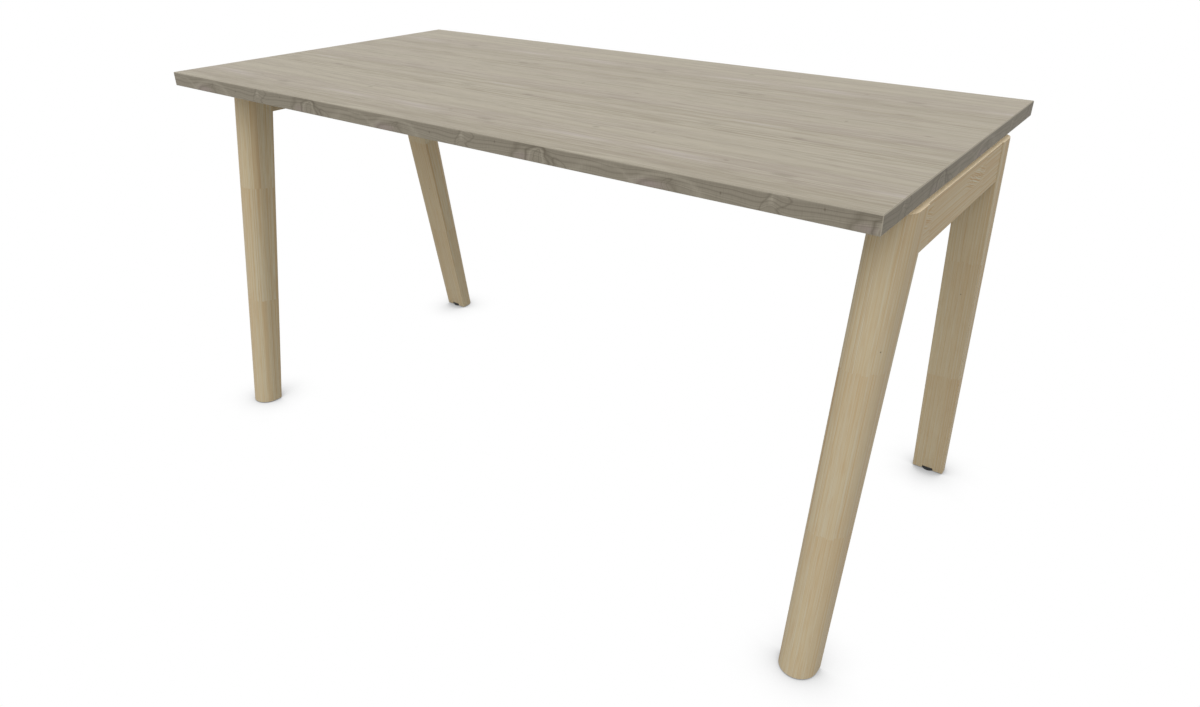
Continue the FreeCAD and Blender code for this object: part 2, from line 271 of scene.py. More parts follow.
def laid_over(tree, tone, layers, fade="LINEAR"):
    """Lays paints over a tone, one after another.

    Each layer is a pattern, the values at which its paint starts and is full, the share of the tone
    that the full paint hides, and the paint.
    """
    for pattern, start, full, most, paint in layers:
        share = add(tree, "ShaderNodeMapRange", {
            "Value": pattern, "From Min": start, "From Max": full, "To Min": 0.0, "To Max": most},
            interpolation_type=fade)
        tone = add(tree, "ShaderNodeMix", {"Factor": share, "A": tone, "B": paint}, data_type="RGBA")
    return tone


def drawn_out(tree, place, size, detail, shift=0.0):
    """Noise drawn out to this size along each axis, in millimetres. shift gives another part of it."""
    scaled = add(tree, "ShaderNodeMapping", {
        "Vector": place, "Location": (shift, 0.0, 0.0), "Scale": [1 / (one * MM) for one in size]})
    return add(tree, "ShaderNodeTexNoise", {"Vector": scaled, "Scale": 1.0, "Detail": detail})


def lines_of(tree, height, spacing, detail, roughness=0.5):
    """Lines that follow equal heights, about this far apart."""
    return add(tree, "ShaderNodeTexNoise", {
        "W": add(tree, "ShaderNodeMath", {0: height, 1: spacing}, operation="DIVIDE"),
        "Scale": 1.0, "Detail": detail, "Roughness": roughness}, noise_dimensions="1D")


def spot(tree, place, centre, half_size):
    """1 in the middle of a soft oval, 0 outside it. Its centre and half size are in millimetres."""
    offset = add(tree, "ShaderNodeVectorMath", {0: place, 1: Vector(centre) * MM}, operation="SUBTRACT")
    scaled = add(tree, "ShaderNodeVectorMath", {0: offset, 1: Vector(half_size) * MM},
                 operation="DIVIDE")
    away = add(tree, "ShaderNodeVectorMath", {0: scaled}, operation="LENGTH")
    return add(tree, "ShaderNodeMapRange", {
        "Value": away.outputs["Value"], "From Min": 0.0, "From Max": 1.0, "To Min": 1.0, "To Max": 0.0},
        interpolation_type="SMOOTHSTEP")


def in_repeat(tree, way, repeat):
    """A place's share of a print's repeat, and the two waves that return with each repeat."""
    turns = add(tree, "ShaderNodeMath", {0: way, 1: repeat}, operation="DIVIDE")
    share = add(tree, "ShaderNodeMath", {0: turns}, operation="FRACT")
    turn = add(tree, "ShaderNodeMath", {0: turns, 1: 2 * pi}, operation="MULTIPLY")
    waves = [add(tree, "ShaderNodeMath", {0: turn}, operation=wave) for wave in ("COSINE", "SINE")]
    return [share] + waves


# --- Materials -----------------------------------------------------------------------------------

# Tones across one repeat of the board's print: millimetres from the rear edge.
PRINT_BANDS = ((0, "pale"), (46, "beige"), (60, "pale"), (74, "pale"), (84, "beige"), (96, "rose"),
               (140, "rose"), (162, "dark"), (174, "dark"), (188, "beige"), (195, "dark"),
               (201, "beige"), (214, "pale"), (233, "dark"), (262, "dark"), (270, "pale"),
               (288, "beige"), (298, "pale"), (304, "beige"), (340, "pale"), (350, "pale"),
               (359, "rose"), (385, "rose"), (406, "dark"), (416, "beige"), (427, "dark"),
               (434, "beige"), (440, "pale"), (449, "beige"), (472, "dark"), (489, "dark"),
               (500, "pale"))

# Its marks: place along and across the repeat, half length and width in millimetres, and tone.
PRINT_MARKS = (
    (80, 124, 110, 10, "lilac"), (112, 134, 80, 5, "lilac"), (100, 414, 75, 5, "lilac"),
    (425, 128, 140, 10, "lilac"), (247, 132, 30, 9, "knot"), (158, 115, 8, 5, "knot"),
    (333, 340, 10, 6, "knot"), (352, 336, 30, 5, "pale"), (203, 322, 4, 8, "knot"),
    (260, 228, 30, 7, "knot"), (10, 224, 16, 8, "knot"), (480, 231, 20, 9, "knot"),
    (130, 210, 26, 6, "pale"), (415, 72, 10, 7, "knot"), (440, 76, 34, 4, "pale"),
    (44, 455, 32, 6, "knot"), (188, 458, 18, 9, "knot"), (440, 444, 24, 7, "pale"),
    (2, 48, 4, 9, "knot"))
MARK_FEATHERING = 1.3          # how much larger a mark is drawn, because its rim fades away


def melamine_board(board):
    """Melamine-faced chipboard, pressed matt: a printed wood figure of long faint bands and streaks."""
    material, tree = new_material("Melamine-faced chipboard, matt pressed")
    place = add(tree, "ShaderNodeTexCoord").outputs["Object"]
    axes = add(tree, "ShaderNodeSeparateXYZ", {0: place})

    # Place in the print, from its rear left corner. The streaks wander sideways a little.
    from_left, from_rear = 700 * MM, 350 * MM
    sideways = add(tree, "ShaderNodeMapRange", {
        "Value": drawn_out(tree, place, (300, 100, 1000), 1.0),
        "From Min": NOISE_LOW, "From Max": NOISE_HIGH, "To Min": -1 * MM, "To Max": 1 * MM})
    along = add(tree, "ShaderNodeMath", {0: axes.outputs["X"], 1: from_left}, operation="ADD")
    across = add(tree, "ShaderNodeMath", {
        0: add(tree, "ShaderNodeMath", {0: from_rear, 1: axes.outputs["Y"]}, operation="SUBTRACT"),
        1: sideways}, operation="ADD")
    share_along, *waves_along = in_repeat(tree, along, board.print_repeat)
    share_across, *waves_across = in_repeat(tree, across, board.print_repeat)
    circle = add(tree, "ShaderNodeCombineXYZ", {
        "X": waves_along[0], "Y": waves_along[1], "Z": waves_across[0]})
    in_print = add(tree, "ShaderNodeVectorMath", {
        0: add(tree, "ShaderNodeCombineXYZ", {"X": share_along, "Y": share_across}),
        "Scale": board.print_repeat}, operation="SCALE")

    def noise(length, width, seed, detail):
        """Noise drawn out along the board, that comes back after each repeat of the print."""
        reach = board.print_repeat / (2 * pi)
        around = add(tree, "ShaderNodeMapping", {
            "Vector": circle, "Location": (seed, 0.0, 0.0),
            "Scale": (reach / length, reach / length, reach / width)})
        depth = add(tree, "ShaderNodeMath", {0: waves_across[1], 1: reach / width},
                    operation="MULTIPLY")
        return add(tree, "ShaderNodeTexNoise", {
            "Vector": around, "W": depth, "Scale": 1.0, "Detail": detail, "Roughness": 0.6},
            noise_dimensions="4D")

    def streaks(length, width, seed, detail):
        """Straight lines across the print, that come and go along it."""
        lines = noise(100 * length, width, seed, detail)
        patches = noise(length, 1.5 * width, seed + 50, 2.0)
        half = add(tree, "ShaderNodeMath", {0: patches, 1: 0.5}, operation="MULTIPLY")
        return add(tree, "ShaderNodeMath", {0: lines, 1: 0.5, 2: half}, operation="MULTIPLY_ADD")

    # Bands, then streaks and dashes: a pattern's last two numbers are its seed and its detail.
    main_tone = Vector(board.beige)
    bands = add(tree, "ShaderNodeValToRGB", {"Fac": share_across}, ramp=[
        (from_edge * MM / board.print_repeat,
         main_tone.lerp(Vector(getattr(board, name)), board.band_strength))
        for from_edge, name in PRINT_BANDS])
    wide, fine = board.streak_length, board.streak_width
    layers = [(streaks(wide, fine * 1.6, 3.0, 3.0), 0.49, 0.57, 0.6, board.rose),
              (streaks(wide * 0.7, fine * 0.6, 11.0, 4.0), 0.50, 0.62, 0.24, board.dark),
              (streaks(wide * 0.6, fine * 0.4, 23.0, 3.0), 0.50, 0.56, 0.6, board.pale),
              (noise(90 * MM, 4.4 * MM, 71.0, 2.0), 0.53, 0.62, 0.22, board.knot),
              (noise(120 * MM, 3.8 * MM, 83.0, 2.0), 0.53, 0.62, 0.9, board.pale)]

    # Marks: the small knots have feathered ends, and the others are made of long lines.
    feathers = noise(18 * MM, 3 * MM, 31.0, 3.0)
    long_lines = streaks(wide, fine * 0.5, 41.0, 2.0)
    for from_side, from_edge, half_length, half_width, name in PRINT_MARKS:
        rim, most = (feathers, 0.45) if name == "knot" else (long_lines, 0.7)
        mark = spot(tree, in_print, (from_side, from_edge, 0),
                    (MARK_FEATHERING * half_length, MARK_FEATHERING * half_width, FLAT))
        ragged = add(tree, "ShaderNodeMath", {0: mark, 1: rim}, operation="MULTIPLY")
        layers.append((ragged, 0.14, 0.55, most, getattr(board, name)))

    # The press plate's pores: short grooves, drawn as coarse as they need to show.
    pores = drawn_out(tree, place, (16, 1.1, 1.1), 2.0)
    layers.append((pores, 0.55, 0.80, 0.5, board.dark))

    # The underside has a plain pale backing foil.
    facing = add(tree, "ShaderNodeSeparateXYZ", {
        0: add(tree, "ShaderNodeNewGeometry").outputs["Normal"]})
    under = add(tree, "ShaderNodeMath", {0: facing.outputs["Z"], 1: -0.5}, operation="LESS_THAN")
    layers.append((under, 0.0, 1.0, 0.9, board.backing))
    tone = laid_over(tree, bands, layers, "SMOOTHSTEP")
    surface(tree, tone, (pores, 0.25, 0.1 * MM), (pores, 0.50, 0.60), {"Specular IOR Level": 0.25})
    return material


# How high the edge band's figure lines rise along one repeat: millimetres along, share of the rise.
FIGURE_RISE = ((0, 0.30), (62, 0.30), (80, 0.66), (127, 0.90), (160, 0.66), (235, 0.36),
               (255, 0.34), (267, 0.80), (281, 0.24), (330, 0.46), (385, 0.80), (412, 0.95),
               (436, 0.40), (456, 0.16), (478, 0.30), (500, 0.30))

# Its soft spots and short dashes, and its rings, of which a band shows the part that falls on it:
# place along and down, half length and height in millimetres, tone and share.
FIGURE_SPOTS = (
    (97, 20, 42, 11, "band_rose", 0.8), (384, 19, 24, 9, "band_rose", 0.6),
    (267, 8, 7, 10, "band_pale", 0.7))
FIGURE_RINGS = (
    (125, 34, 94, 46, "band_pale", 0.4), (120, 32, 56, 30, "band_dark", 0.4),
    (130, 22, 9, 18, "band_dark", 0.5), (268, 14, 24, 34, "band_dark", 0.5),
    (414, 16, 22, 18, "band_pale", 0.5), (414, 16, 34, 27, "band_dark", 0.7),
    (402, 21, 70, 36, "band_dark", 0.5), (414, 15, 8, 15, "band_dark", 0.6),
    (452, 26, 18, 24, "band_dark", 0.5), (525, 34, 90, 44, "band_pale", 0.3),
    (25, 34, 90, 44, "band_pale", 0.3))
FIGURE_DASHES = ((333, 7, 2, 3, "band_dark", 0.9), (200, 13, 2, 3, "band_dark", 0.9))


def edge_band(board):
    """ABS edge band, printed and milled round: flowing figures, and a pale line where the print ends,
    which is partly a painted highlight.

    The print reads each band's own "grain" attribute: along it, 1 on the side bands, and down from
    its top edge.
    """
    material, tree = new_material("ABS edge band, wood print")
    grain = add(tree, "ShaderNodeAttribute", attribute_name="grain").outputs["Vector"]
    axes = add(tree, "ShaderNodeSeparateXYZ", {0: grain})
    down = axes.outputs["Z"]
    share, *waves = in_repeat(tree, axes.outputs["X"], board.print_repeat)
    circle = add(tree, "ShaderNodeCombineXYZ", {"X": waves[0], "Y": waves[1], "Z": down})
    in_print = add(tree, "ShaderNodeCombineXYZ", {
        "X": add(tree, "ShaderNodeMath", {0: share, 1: board.print_repeat}, operation="MULTIPLY"),
        "Y": down})

    # Lines of equal height: level near the top edge, rising to peaks, and fainter lower down.
    rise = add(tree, "ShaderNodeValToRGB", {"Fac": share}, ramp=[
        (along * MM / board.print_repeat, grey(level)) for along, level in FIGURE_RISE])
    rise.color_ramp.interpolation = "CARDINAL"
    wander, stray = 7 * MM, (50 * MM, 20 * MM, 0.0)
    depth = add(tree, "ShaderNodeMapRange", {
        "Value": down, "From Min": 0.0, "From Max": 22 * MM, "To Min": 4 * MM, "To Max": 20 * MM})
    height = add(tree, "ShaderNodeMath", {0: rise, 1: depth, 2: down}, operation="MULTIPLY_ADD")
    wobble = drawn_out(tree, circle, (625, 625, 22), 1.0)      # the circle's radius counts as 1 m
    height = add(tree, "ShaderNodeMath", {0: wobble, 1: wander, 2: height}, operation="MULTIPLY_ADD")
    lines = lines_of(tree, height, board.figure_pitch, 1.5, 0.6)
    lower = add(tree, "ShaderNodeMapRange", {
        "Value": down, "From Min": 4 * MM, "From Max": 20 * MM, "To Min": 1.0, "To Max": 0.45})

    def figures(table, place):
        """A table's ovals, each with the share and the paint that it is laid on with."""
        for along, from_top, half_length, half_height, name, most in table:
            oval = spot(tree, place, (along, from_top, 0), (half_length, half_height, FLAT))
            yield oval, most, getattr(board, name)

    layers = [(oval, 0.0, 1.0, most, paint) for oval, most, paint in figures(FIGURE_SPOTS, in_print)]
    for start, full, most, paint in (
            (0.50, 0.34, 0.6, board.band_dark), (0.53, 0.72, 0.5, board.band_pale)):
        line = add(tree, "ShaderNodeMapRange", {
            "Value": lines, "From Min": start, "From Max": full}, interpolation_type="SMOOTHSTEP")
        layers.append((add(tree, "ShaderNodeMath", {0: line, 1: lower}, operation="MULTIPLY"),
                       0.0, 1.0, most, paint))
    both_ways = add(tree, "ShaderNodeVectorMath", {0: wobble.outputs["Color"], 1: (0.5, 0.5, 0.5)},
                    operation="SUBTRACT")
    bent = add(tree, "ShaderNodeVectorMath", {0: both_ways, 1: stray, 2: in_print},
               operation="MULTIPLY_ADD")
    for oval, most, paint in figures(FIGURE_RINGS, bent):
        ring = add(tree, "ShaderNodeValToRGB", {"Fac": oval},
                   ramp=[(0.20, grey(0.0)), (0.36, grey(1.0)), (0.52, grey(0.0))])
        layers.append((ring, 0.0, 1.0, most, paint))
    layers += [(oval, 0.0, 1.0, most, paint) for oval, most, paint in figures(FIGURE_DASHES, in_print)]

    # The side bands are painted darker: painted shade on the bands at the board's ends. Fine upright
    # hatching lies over it all, drawn coarser than the real print's so that it shows.
    hatch = drawn_out(tree, grain, (1.6, 1000, 11), 2.0)
    layers += [(axes.outputs["Y"], 0.0, 1.0, 0.25, board.band_dark),
               (hatch, 0.45, 0.75, 0.2, board.band_dark)]

    # On the rounding the printed face is milled away: its normal points along no axis. Its pale tone
    # there is partly the milled ABS and partly a painted highlight along the edges. The faces that lie
    # flush with the board's look like it.
    normal = add(tree, "ShaderNodeNewGeometry").outputs["Normal"]
    facing = add(tree, "ShaderNodeSeparateXYZ", {
        0: add(tree, "ShaderNodeVectorMath", {0: normal}, operation="ABSOLUTE")})
    most_facing = add(tree, "ShaderNodeMath", {
        0: add(tree, "ShaderNodeMath", {0: facing.outputs["X"], 1: facing.outputs["Y"]},
               operation="MAXIMUM"),
        1: facing.outputs["Z"]}, operation="MAXIMUM")
    upward = add(tree, "ShaderNodeSeparateXYZ", {0: normal}).outputs["Z"]
    flush = add(tree, "ShaderNodeMath", {0: upward, 1: 0.99}, operation="GREATER_THAN")
    layers += [(most_facing, 0.99, 0.86, 0.9, board.band_pale), (flush, 0.0, 1.0, 1.0, board.pale)]
    tone = laid_over(tree, board.band_beige, layers)
    surface(tree, tone, (hatch, 0.2, 0.08 * MM), (hatch, 0.50, 0.58), {"Specular IOR Level": 0.08})
    return material


def lacquered_ash(wood):
    """Ash, finger-jointed and planed, clear matt lacquer: growth lines that break at every joint.

    The pattern reads each piece's own "grain" attribute: across, depth and along, in metres.
    """
    material, tree = new_material("Ash, finger-jointed, clear matt lacquer")
    grain = add(tree, "ShaderNodeAttribute", attribute_name="grain").outputs["Vector"]
    axes = add(tree, "ShaderNodeSeparateXYZ", {0: grain})
    across = axes.outputs["X"]

    # Fingers: across the stave, each strip of a joint ends a little higher or lower.
    strip = add(tree, "ShaderNodeMath", {
        0: add(tree, "ShaderNodeMath", {0: across, 1: wood.finger_width}, operation="DIVIDE")},
        operation="FLOOR")
    step = add(tree, "ShaderNodeTexWhiteNoise", {"W": strip}, noise_dimensions="1D")
    run = add(tree, "ShaderNodeMath", {
        0: step.outputs["Value"], 1: wood.finger_length, 2: axes.outputs["Z"]},
        operation="MULTIPLY_ADD")
    blocks = add(tree, "ShaderNodeMath", {0: run, 1: wood.block_length}, operation="DIVIDE")
    block = add(tree, "ShaderNodeMath", {0: blocks}, operation="FLOOR")
    in_block = add(tree, "ShaderNodeMath", {0: blocks}, operation="FRACT")
    chance = add(tree, "ShaderNodeTexWhiteNoise", {"W": block}, noise_dimensions="1D")
    shifted = add(tree, "ShaderNodeVectorMath", {
        0: grain, 1: add(tree, "ShaderNodeCombineXYZ", {"X": block, "Y": block})}, operation="ADD")

    # Each block's pith lies a little elsewhere beside it. The growth lines run along the block, and
    # sway slowly.
    wander, sway = 14 * MM, 4 * MM
    pith = add(tree, "ShaderNodeVectorMath", {
        0: add(tree, "ShaderNodeVectorMath", {
            0: chance.outputs["Color"], 1: (wander, wander, 0.0)}, operation="MULTIPLY"),
        1: (-wood.pith_across, wood.pith_outward, 0.0)}, operation="ADD")
    section = add(tree, "ShaderNodeVectorMath", {0: grain, 1: (1.0, 1.0, 0.0)}, operation="MULTIPLY")
    radius = add(tree, "ShaderNodeVectorMath", {0: section, 1: pith}, operation="DISTANCE")
    radius = add(tree, "ShaderNodeMath", {
        0: drawn_out(tree, shifted, (50, 50, 900), 1.0), 1: sway, 2: radius.outputs["Value"]},
        operation="MULTIPLY_ADD")

    # The later blocks have a small knot near their end, which the lines flow round, with a flame of
    # slanting brown and pale strokes in it.
    bulge, slant, line_gain = 7 * MM, 0.18, 0.35
    from_start = add(tree, "ShaderNodeMath", {0: in_block, 1: wood.block_length}, operation="MULTIPLY")
    in_place = add(tree, "ShaderNodeCombineXYZ", {"X": across, "Z": from_start})
    knotty = add(tree, "ShaderNodeMath", {0: block, 1: float(wood.clear_blocks)},
                 operation="GREATER_THAN")
    knot = add(tree, "ShaderNodeMath", {
        0: spot(tree, in_place, (17, 0, 206), (11, FLAT, 64)), 1: knotty}, operation="MULTIPLY")
    radius = add(tree, "ShaderNodeMath", {0: knot, 1: bulge, 2: radius}, operation="MULTIPLY_ADD")
    slanted = add(tree, "ShaderNodeMath", {0: from_start, 1: slant, 2: across},
                  operation="MULTIPLY_ADD")
    strokes = lines_of(tree, slanted, wood.stroke_width, 0.0)
    flames = [add(tree, "ShaderNodeMath", {0: knot, 1: add(tree, "ShaderNodeMapRange", {
        "Value": strokes, "From Min": 0.50, "From Max": full, "To Min": 0.0, "To Max": most})},
        operation="MULTIPLY") for full, most in ((0.66, 2.2), (0.34, 0.9))]

    # The growth lines fade in and out in strips along the block, and stand out round a knot.
    rings = lines_of(tree, radius, wood.ring_spacing, 1.0)
    late = add(tree, "ShaderNodeMapRange", {"Value": rings, "From Min": 0.46, "From Max": 0.66})
    strips = add(tree, "ShaderNodeMapRange", {
        "Value": drawn_out(tree, shifted, (16, 16, 900), 1.0),
        "From Min": 0.38, "From Max": 0.58, "To Min": 0.20, "To Max": 0.65})
    at_knot = add(tree, "ShaderNodeMath", {0: knotty, 1: line_gain, 2: knot},
                  operation="MULTIPLY_ADD")
    late = add(tree, "ShaderNodeMath", {
        0: late, 1: add(tree, "ShaderNodeMath", {0: strips, 1: at_knot}, operation="ADD")},
        operation="MULTIPLY")

    # Fibres and open pores: hair-fine, drawn as coarse as they need to show. Specks are pin knots.
    fibre = drawn_out(tree, shifted, (1.4, 1.4, 45), 3.0)
    cells = add(tree, "ShaderNodeTexVoronoi", {"Vector": shifted, "Scale": 1 / (48 * MM)})
    half_stave = wood.stave_width / 2
    up = add(tree, "ShaderNodeSeparateXYZ", {0: add(tree, "ShaderNodeNewGeometry").outputs["Normal"]})
    tone = laid_over(tree, wood.early, (
        # Across each piece the tone goes from the early tone to the heart tone. On the legs this puts
        # the heart tone on the outer faces: partly the stave's heart side, and partly painted shade
        # that darkens the outer faces against the paler inner ones.
        (across, -half_stave, half_stave, 1.0, wood.heart),
        # Broad streaks, greyish pale and brown. Each block is browner at its start.
        (drawn_out(tree, shifted, (6, 10, 1100), 2.0, 9.0), 0.48, 0.68, 0.3, wood.sap),
        (drawn_out(tree, shifted, (8, 12, 900), 2.0, 3.0), 0.46, 0.70, 0.16, wood.late),
        (in_block, 0.6, 0.0, 0.2, wood.late),
        (late, 0.0, 1.0, 1.0, wood.late),
        (rings, 0.50, 0.36, 0.3, wood.sap),
        (flames[0], 0.0, 1.0, 1.0, wood.late),
        (flames[1], 0.0, 1.0, 1.0, wood.flame),
        (fibre, 0.48, 0.72, 0.5, wood.late),
        (cells.outputs["Distance"], 0.030, 0.012, 0.7, wood.speck),
        # The faces that point straight up are painted pale: painted light on the frame's tops, which
        # lie in the board's shade.
        (up.outputs["Z"], 0.6, 0.9, 0.95, wood.planed)))
    surface(tree, tone, (fibre, 0.35, 0.12 * MM), (fibre, 0.62, 0.52), {"Specular IOR Level": 0.12})
    return material


def grainy(name, tone, spread, roughness, grain, depth, metallic=0.0):
    """A plain finish with a fine grain: its tone varies by the share spread, on patches and grains."""
    material, tree = new_material(name)
    place = add(tree, "ShaderNodeTexCoord").outputs["Object"]
    patches = add(tree, "ShaderNodeTexNoise", {"Vector": place, "Scale": 1 / (25 * MM), "Detail": 3.0})
    specks = add(tree, "ShaderNodeTexNoise", {"Vector": place, "Scale": 1 / grain, "Detail": 2.0})
    level = add(tree, "ShaderNodeMath", {0: patches, 1: specks}, operation="ADD")
    factor = add(tree, "ShaderNodeMapRange", {
        "Value": level, "From Min": 0.7, "From Max": 1.3, "To Min": 1 - spread, "To Max": 1 + spread})
    shade = add(tree, "ShaderNodeVectorMath", {0: tone[:3], "Scale": factor}, operation="SCALE")
    surface(tree, shade, (specks, 0.6, depth), (patches, roughness - 0.06, roughness + 0.06),
            {"Metallic": metallic})
    return material


def powder_coat(steel):
    """Polyester powder coat, fine texture, baked: a dry black with a sandy grain."""
    return grainy("Powder coat, fine texture", steel.coat, 0.20, 0.58, 0.7 * MM, 0.12 * MM)


def zinc_plate(steel):
    """Steel, bright zinc plated: a cool metal with faint cloudy patches."""
    return grainy(ZINC, steel.zinc, 0.08, 0.30, 0.5 * MM, 0.02 * MM, metallic=1.0)


def polyamide(steel):
    """Polyamide, moulded and spark-eroded: near black, with a soft satin grain."""
    return grainy(POLYAMIDE, steel.plastic, 0.15, 0.50, 0.5 * MM, 0.05 * MM)


# --- Meshes --------------------------------------------------------------------------------------

def new_object(name, vertices, faces):
    """A mesh object at the origin, in the scene."""
    mesh = bpy.data.meshes.new(name)
    mesh.from_pydata(vertices, [], faces)
    piece = bpy.data.objects.new(name, mesh)
    bpy.context.scene.collection.objects.link(piece)
    return piece


def made_plain(piece):
    """Takes the evaluated shape as the piece's own mesh, with no modifier left."""
    evaluated = piece.evaluated_get(bpy.context.evaluated_depsgraph_get())
    mesh = bpy.data.meshes.new_from_object(evaluated)
    mesh.name = piece.name
    piece.modifiers.clear()
    piece.data = mesh
    return piece


def finished(piece, body, slot, material, *nodes):
    """Gives a made piece its finish and its body, and hides the CAD nodes that it stands for."""
    mesh = piece.data
    mesh.materials.clear()
    mesh.materials.append(material)
    mesh.shade_smooth()
    mesh.set_sharp_from_angle(angle=SMOOTH_UNDER)
    even = piece.modifiers.new("Flat faces stay flat", "WEIGHTED_NORMAL")
    even.keep_sharp = True
    made_plain(piece)
    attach(piece, body)
    if nodes:
        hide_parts(*nodes)


def dress(material, *nodes):
    """Gives CAD nodes that keep their own mesh a better material."""
    for name in nodes:
        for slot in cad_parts[name].material_slots:
            slot.material = material


def rounded_outline(width, height, radius, steps=5):
    """Corners of a rectangle with rounded corners, counter-clockwise, round the origin."""
    centre_x, centre_y = width / 2 - radius, height / 2 - radius
    points = []
    for quarter, (side, rise) in enumerate([(1, 1), (-1, 1), (-1, -1), (1, -1)]):
        for step in range(steps + 1):
            turn = (quarter + step / steps) * pi / 2
            points.append((side * centre_x + radius * cos(turn), rise * centre_y + radius * sin(turn)))
    return points


def prism(name, outline, start, end):
    """A solid between two ends: start and end turn an outline point (u, v) into a place."""
    count = len(outline)
    vertices = [start(*point) for point in outline] + [end(*point) for point in outline]
    faces = [(i, (i + 1) % count, (i + 1) % count + count, i + count) for i in range(count)]
    faces += [tuple(range(count))[::-1], tuple(range(count, 2 * count))]
    piece = new_object(name, vertices, faces)
    shape = bmesh.new()
    shape.from_mesh(piece.data)
    bmesh.ops.recalc_face_normals(shape, faces=shape.faces)
    shape.to_mesh(piece.data)
    shape.free()
    return piece


def box_solid(name, low, high):
    """A block between two corners."""
    corners = [(low.x, low.y), (high.x, low.y), (high.x, high.y), (low.x, high.y)]
    return prism(name, corners, lambda u, v: (u, v, low.z), lambda u, v: (u, v, high.z))


def round_bar(name, centre, radius, low, high, axis="Z", steps=32):
    """A cylinder along one axis, from low to high, round centre in the other two."""
    ring = [(radius * cos(2 * pi * i / steps), radius * sin(2 * pi * i / steps)) for i in range(steps)]
    if axis == "X":
        def at(place):
            return lambda u, v: (place, centre[0] + u, centre[1] + v)
    else:
        def at(place):
            return lambda u, v: (centre[0] + u, centre[1] + v, place)
    return prism(name, ring, at(low), at(high))


def turned(name, profile, steps=24, hollow=False):
    """A solid turned about Z. profile runs up its outside, (radius, height) in mm, and down a bore."""
    count = len(profile)
    vertices = [
        (radius * MM * cos(2 * pi * i / steps), radius * MM * sin(2 * pi * i / steps), height * MM)
        for radius, height in profile for i in range(steps)]
    faces = [(ring * steps + i, ring * steps + (i + 1) % steps,
              (ring + 1) % count * steps + (i + 1) % steps, (ring + 1) % count * steps + i)
             for ring in range(count if hollow else count - 1) for i in range(steps)]
    if not hollow:
        faces += [tuple(range(steps))[::-1], tuple(range((count - 1) * steps, count * steps))]
    return new_object(name, vertices, faces)


def threaded_rod(name, radius, depth, pitch, low, high, steps=16, rows=4):
    """An upright rod with a right-hand thread: each row of points follows the turn of the crest."""
    count = round((high - low) / pitch * rows)
    vertices = []
    for row in range(count + 1):
        for i in range(steps):
            turns = i / steps
            height = low + (high - low) * row / count
            swing = abs(2 * ((height / pitch - turns) % 1) - 1)
            here = radius - depth * swing if 0 < row < count else radius - depth
            vertices.append((here * cos(2 * pi * turns), here * sin(2 * pi * turns), height))
    faces = [(row * steps + i, row * steps + (i + 1) % steps,
              (row + 1) * steps + (i + 1) % steps, (row + 1) * steps + i)
             for row in range(count) for i in range(steps)]
    faces += [tuple(range(steps))[::-1], tuple(range(count * steps, (count + 1) * steps))]
    return new_object(name, vertices, faces)


def combined(piece, tools, operation="DIFFERENCE"):
    """Cuts the tools from a piece, keeps what it shares with them or joins them to it. Removes them."""
    for tool in tools:
        change = piece.modifiers.new("Cut", "BOOLEAN")
        change.operation, change.object, change.solver = operation, tool, "EXACT"
    made_plain(piece)
    for tool in tools:
        bpy.data.objects.remove(tool)
    return piece


def set_grain(piece, to_grain):
    """Stores each point's place in its piece's timber or print, which to_grain makes from the point."""
    mesh = piece.data
    attribute = mesh.attributes.new("grain", "FLOAT_VECTOR", "POINT")
    for vertex in mesh.vertices:
        attribute.data[vertex.index].vector = to_grain(vertex.co)


# --- Geometry Nodes ------------------------------------------------------------------------------

def new_shape_tree(name, sockets):
    """A geometry tree and what it is given. sockets maps the name of each input to its kind."""
    tree = bpy.data.node_groups.new(name, "GeometryNodeTree")
    tree.interface.new_socket("Geometry", in_out="INPUT", socket_type="NodeSocketGeometry")
    for label, kind in sockets.items():
        tree.interface.new_socket(label, in_out="INPUT", socket_type="NodeSocket" + kind)
    tree.interface.new_socket("Geometry", in_out="OUTPUT", socket_type="NodeSocketGeometry")
    return tree, add(tree, "NodeGroupInput").outputs


def end_shape_tree(tree, geometry, material):
    """Realizes the copies, sets their material and hands them out."""
    realized = add(tree, "GeometryNodeRealizeInstances", {"Geometry": geometry})
    painted = add(tree, "GeometryNodeSetMaterial", {"Geometry": realized, "Material": material})
    add(tree, "NodeGroupOutput", {0: painted})


def grown(name, tree, values, points=(), aims=()):
    """The plain mesh that a geometry tree makes from these input values, on these points."""
    piece = new_object(name, points, [])
    aim = piece.data.attributes.new("aim", "FLOAT_VECTOR", "POINT")
    for number, direction in enumerate(aims):
        aim.data[number].vector = direction
    shape = piece.modifiers.new("Shape", "NODES")
    shape.node_group = tree
    for socket in tree.interface.items_tree:
        if socket.in_out == "INPUT" and socket.name in values:
            shape[socket.identifier] = values[socket.name]
    return made_plain(piece)


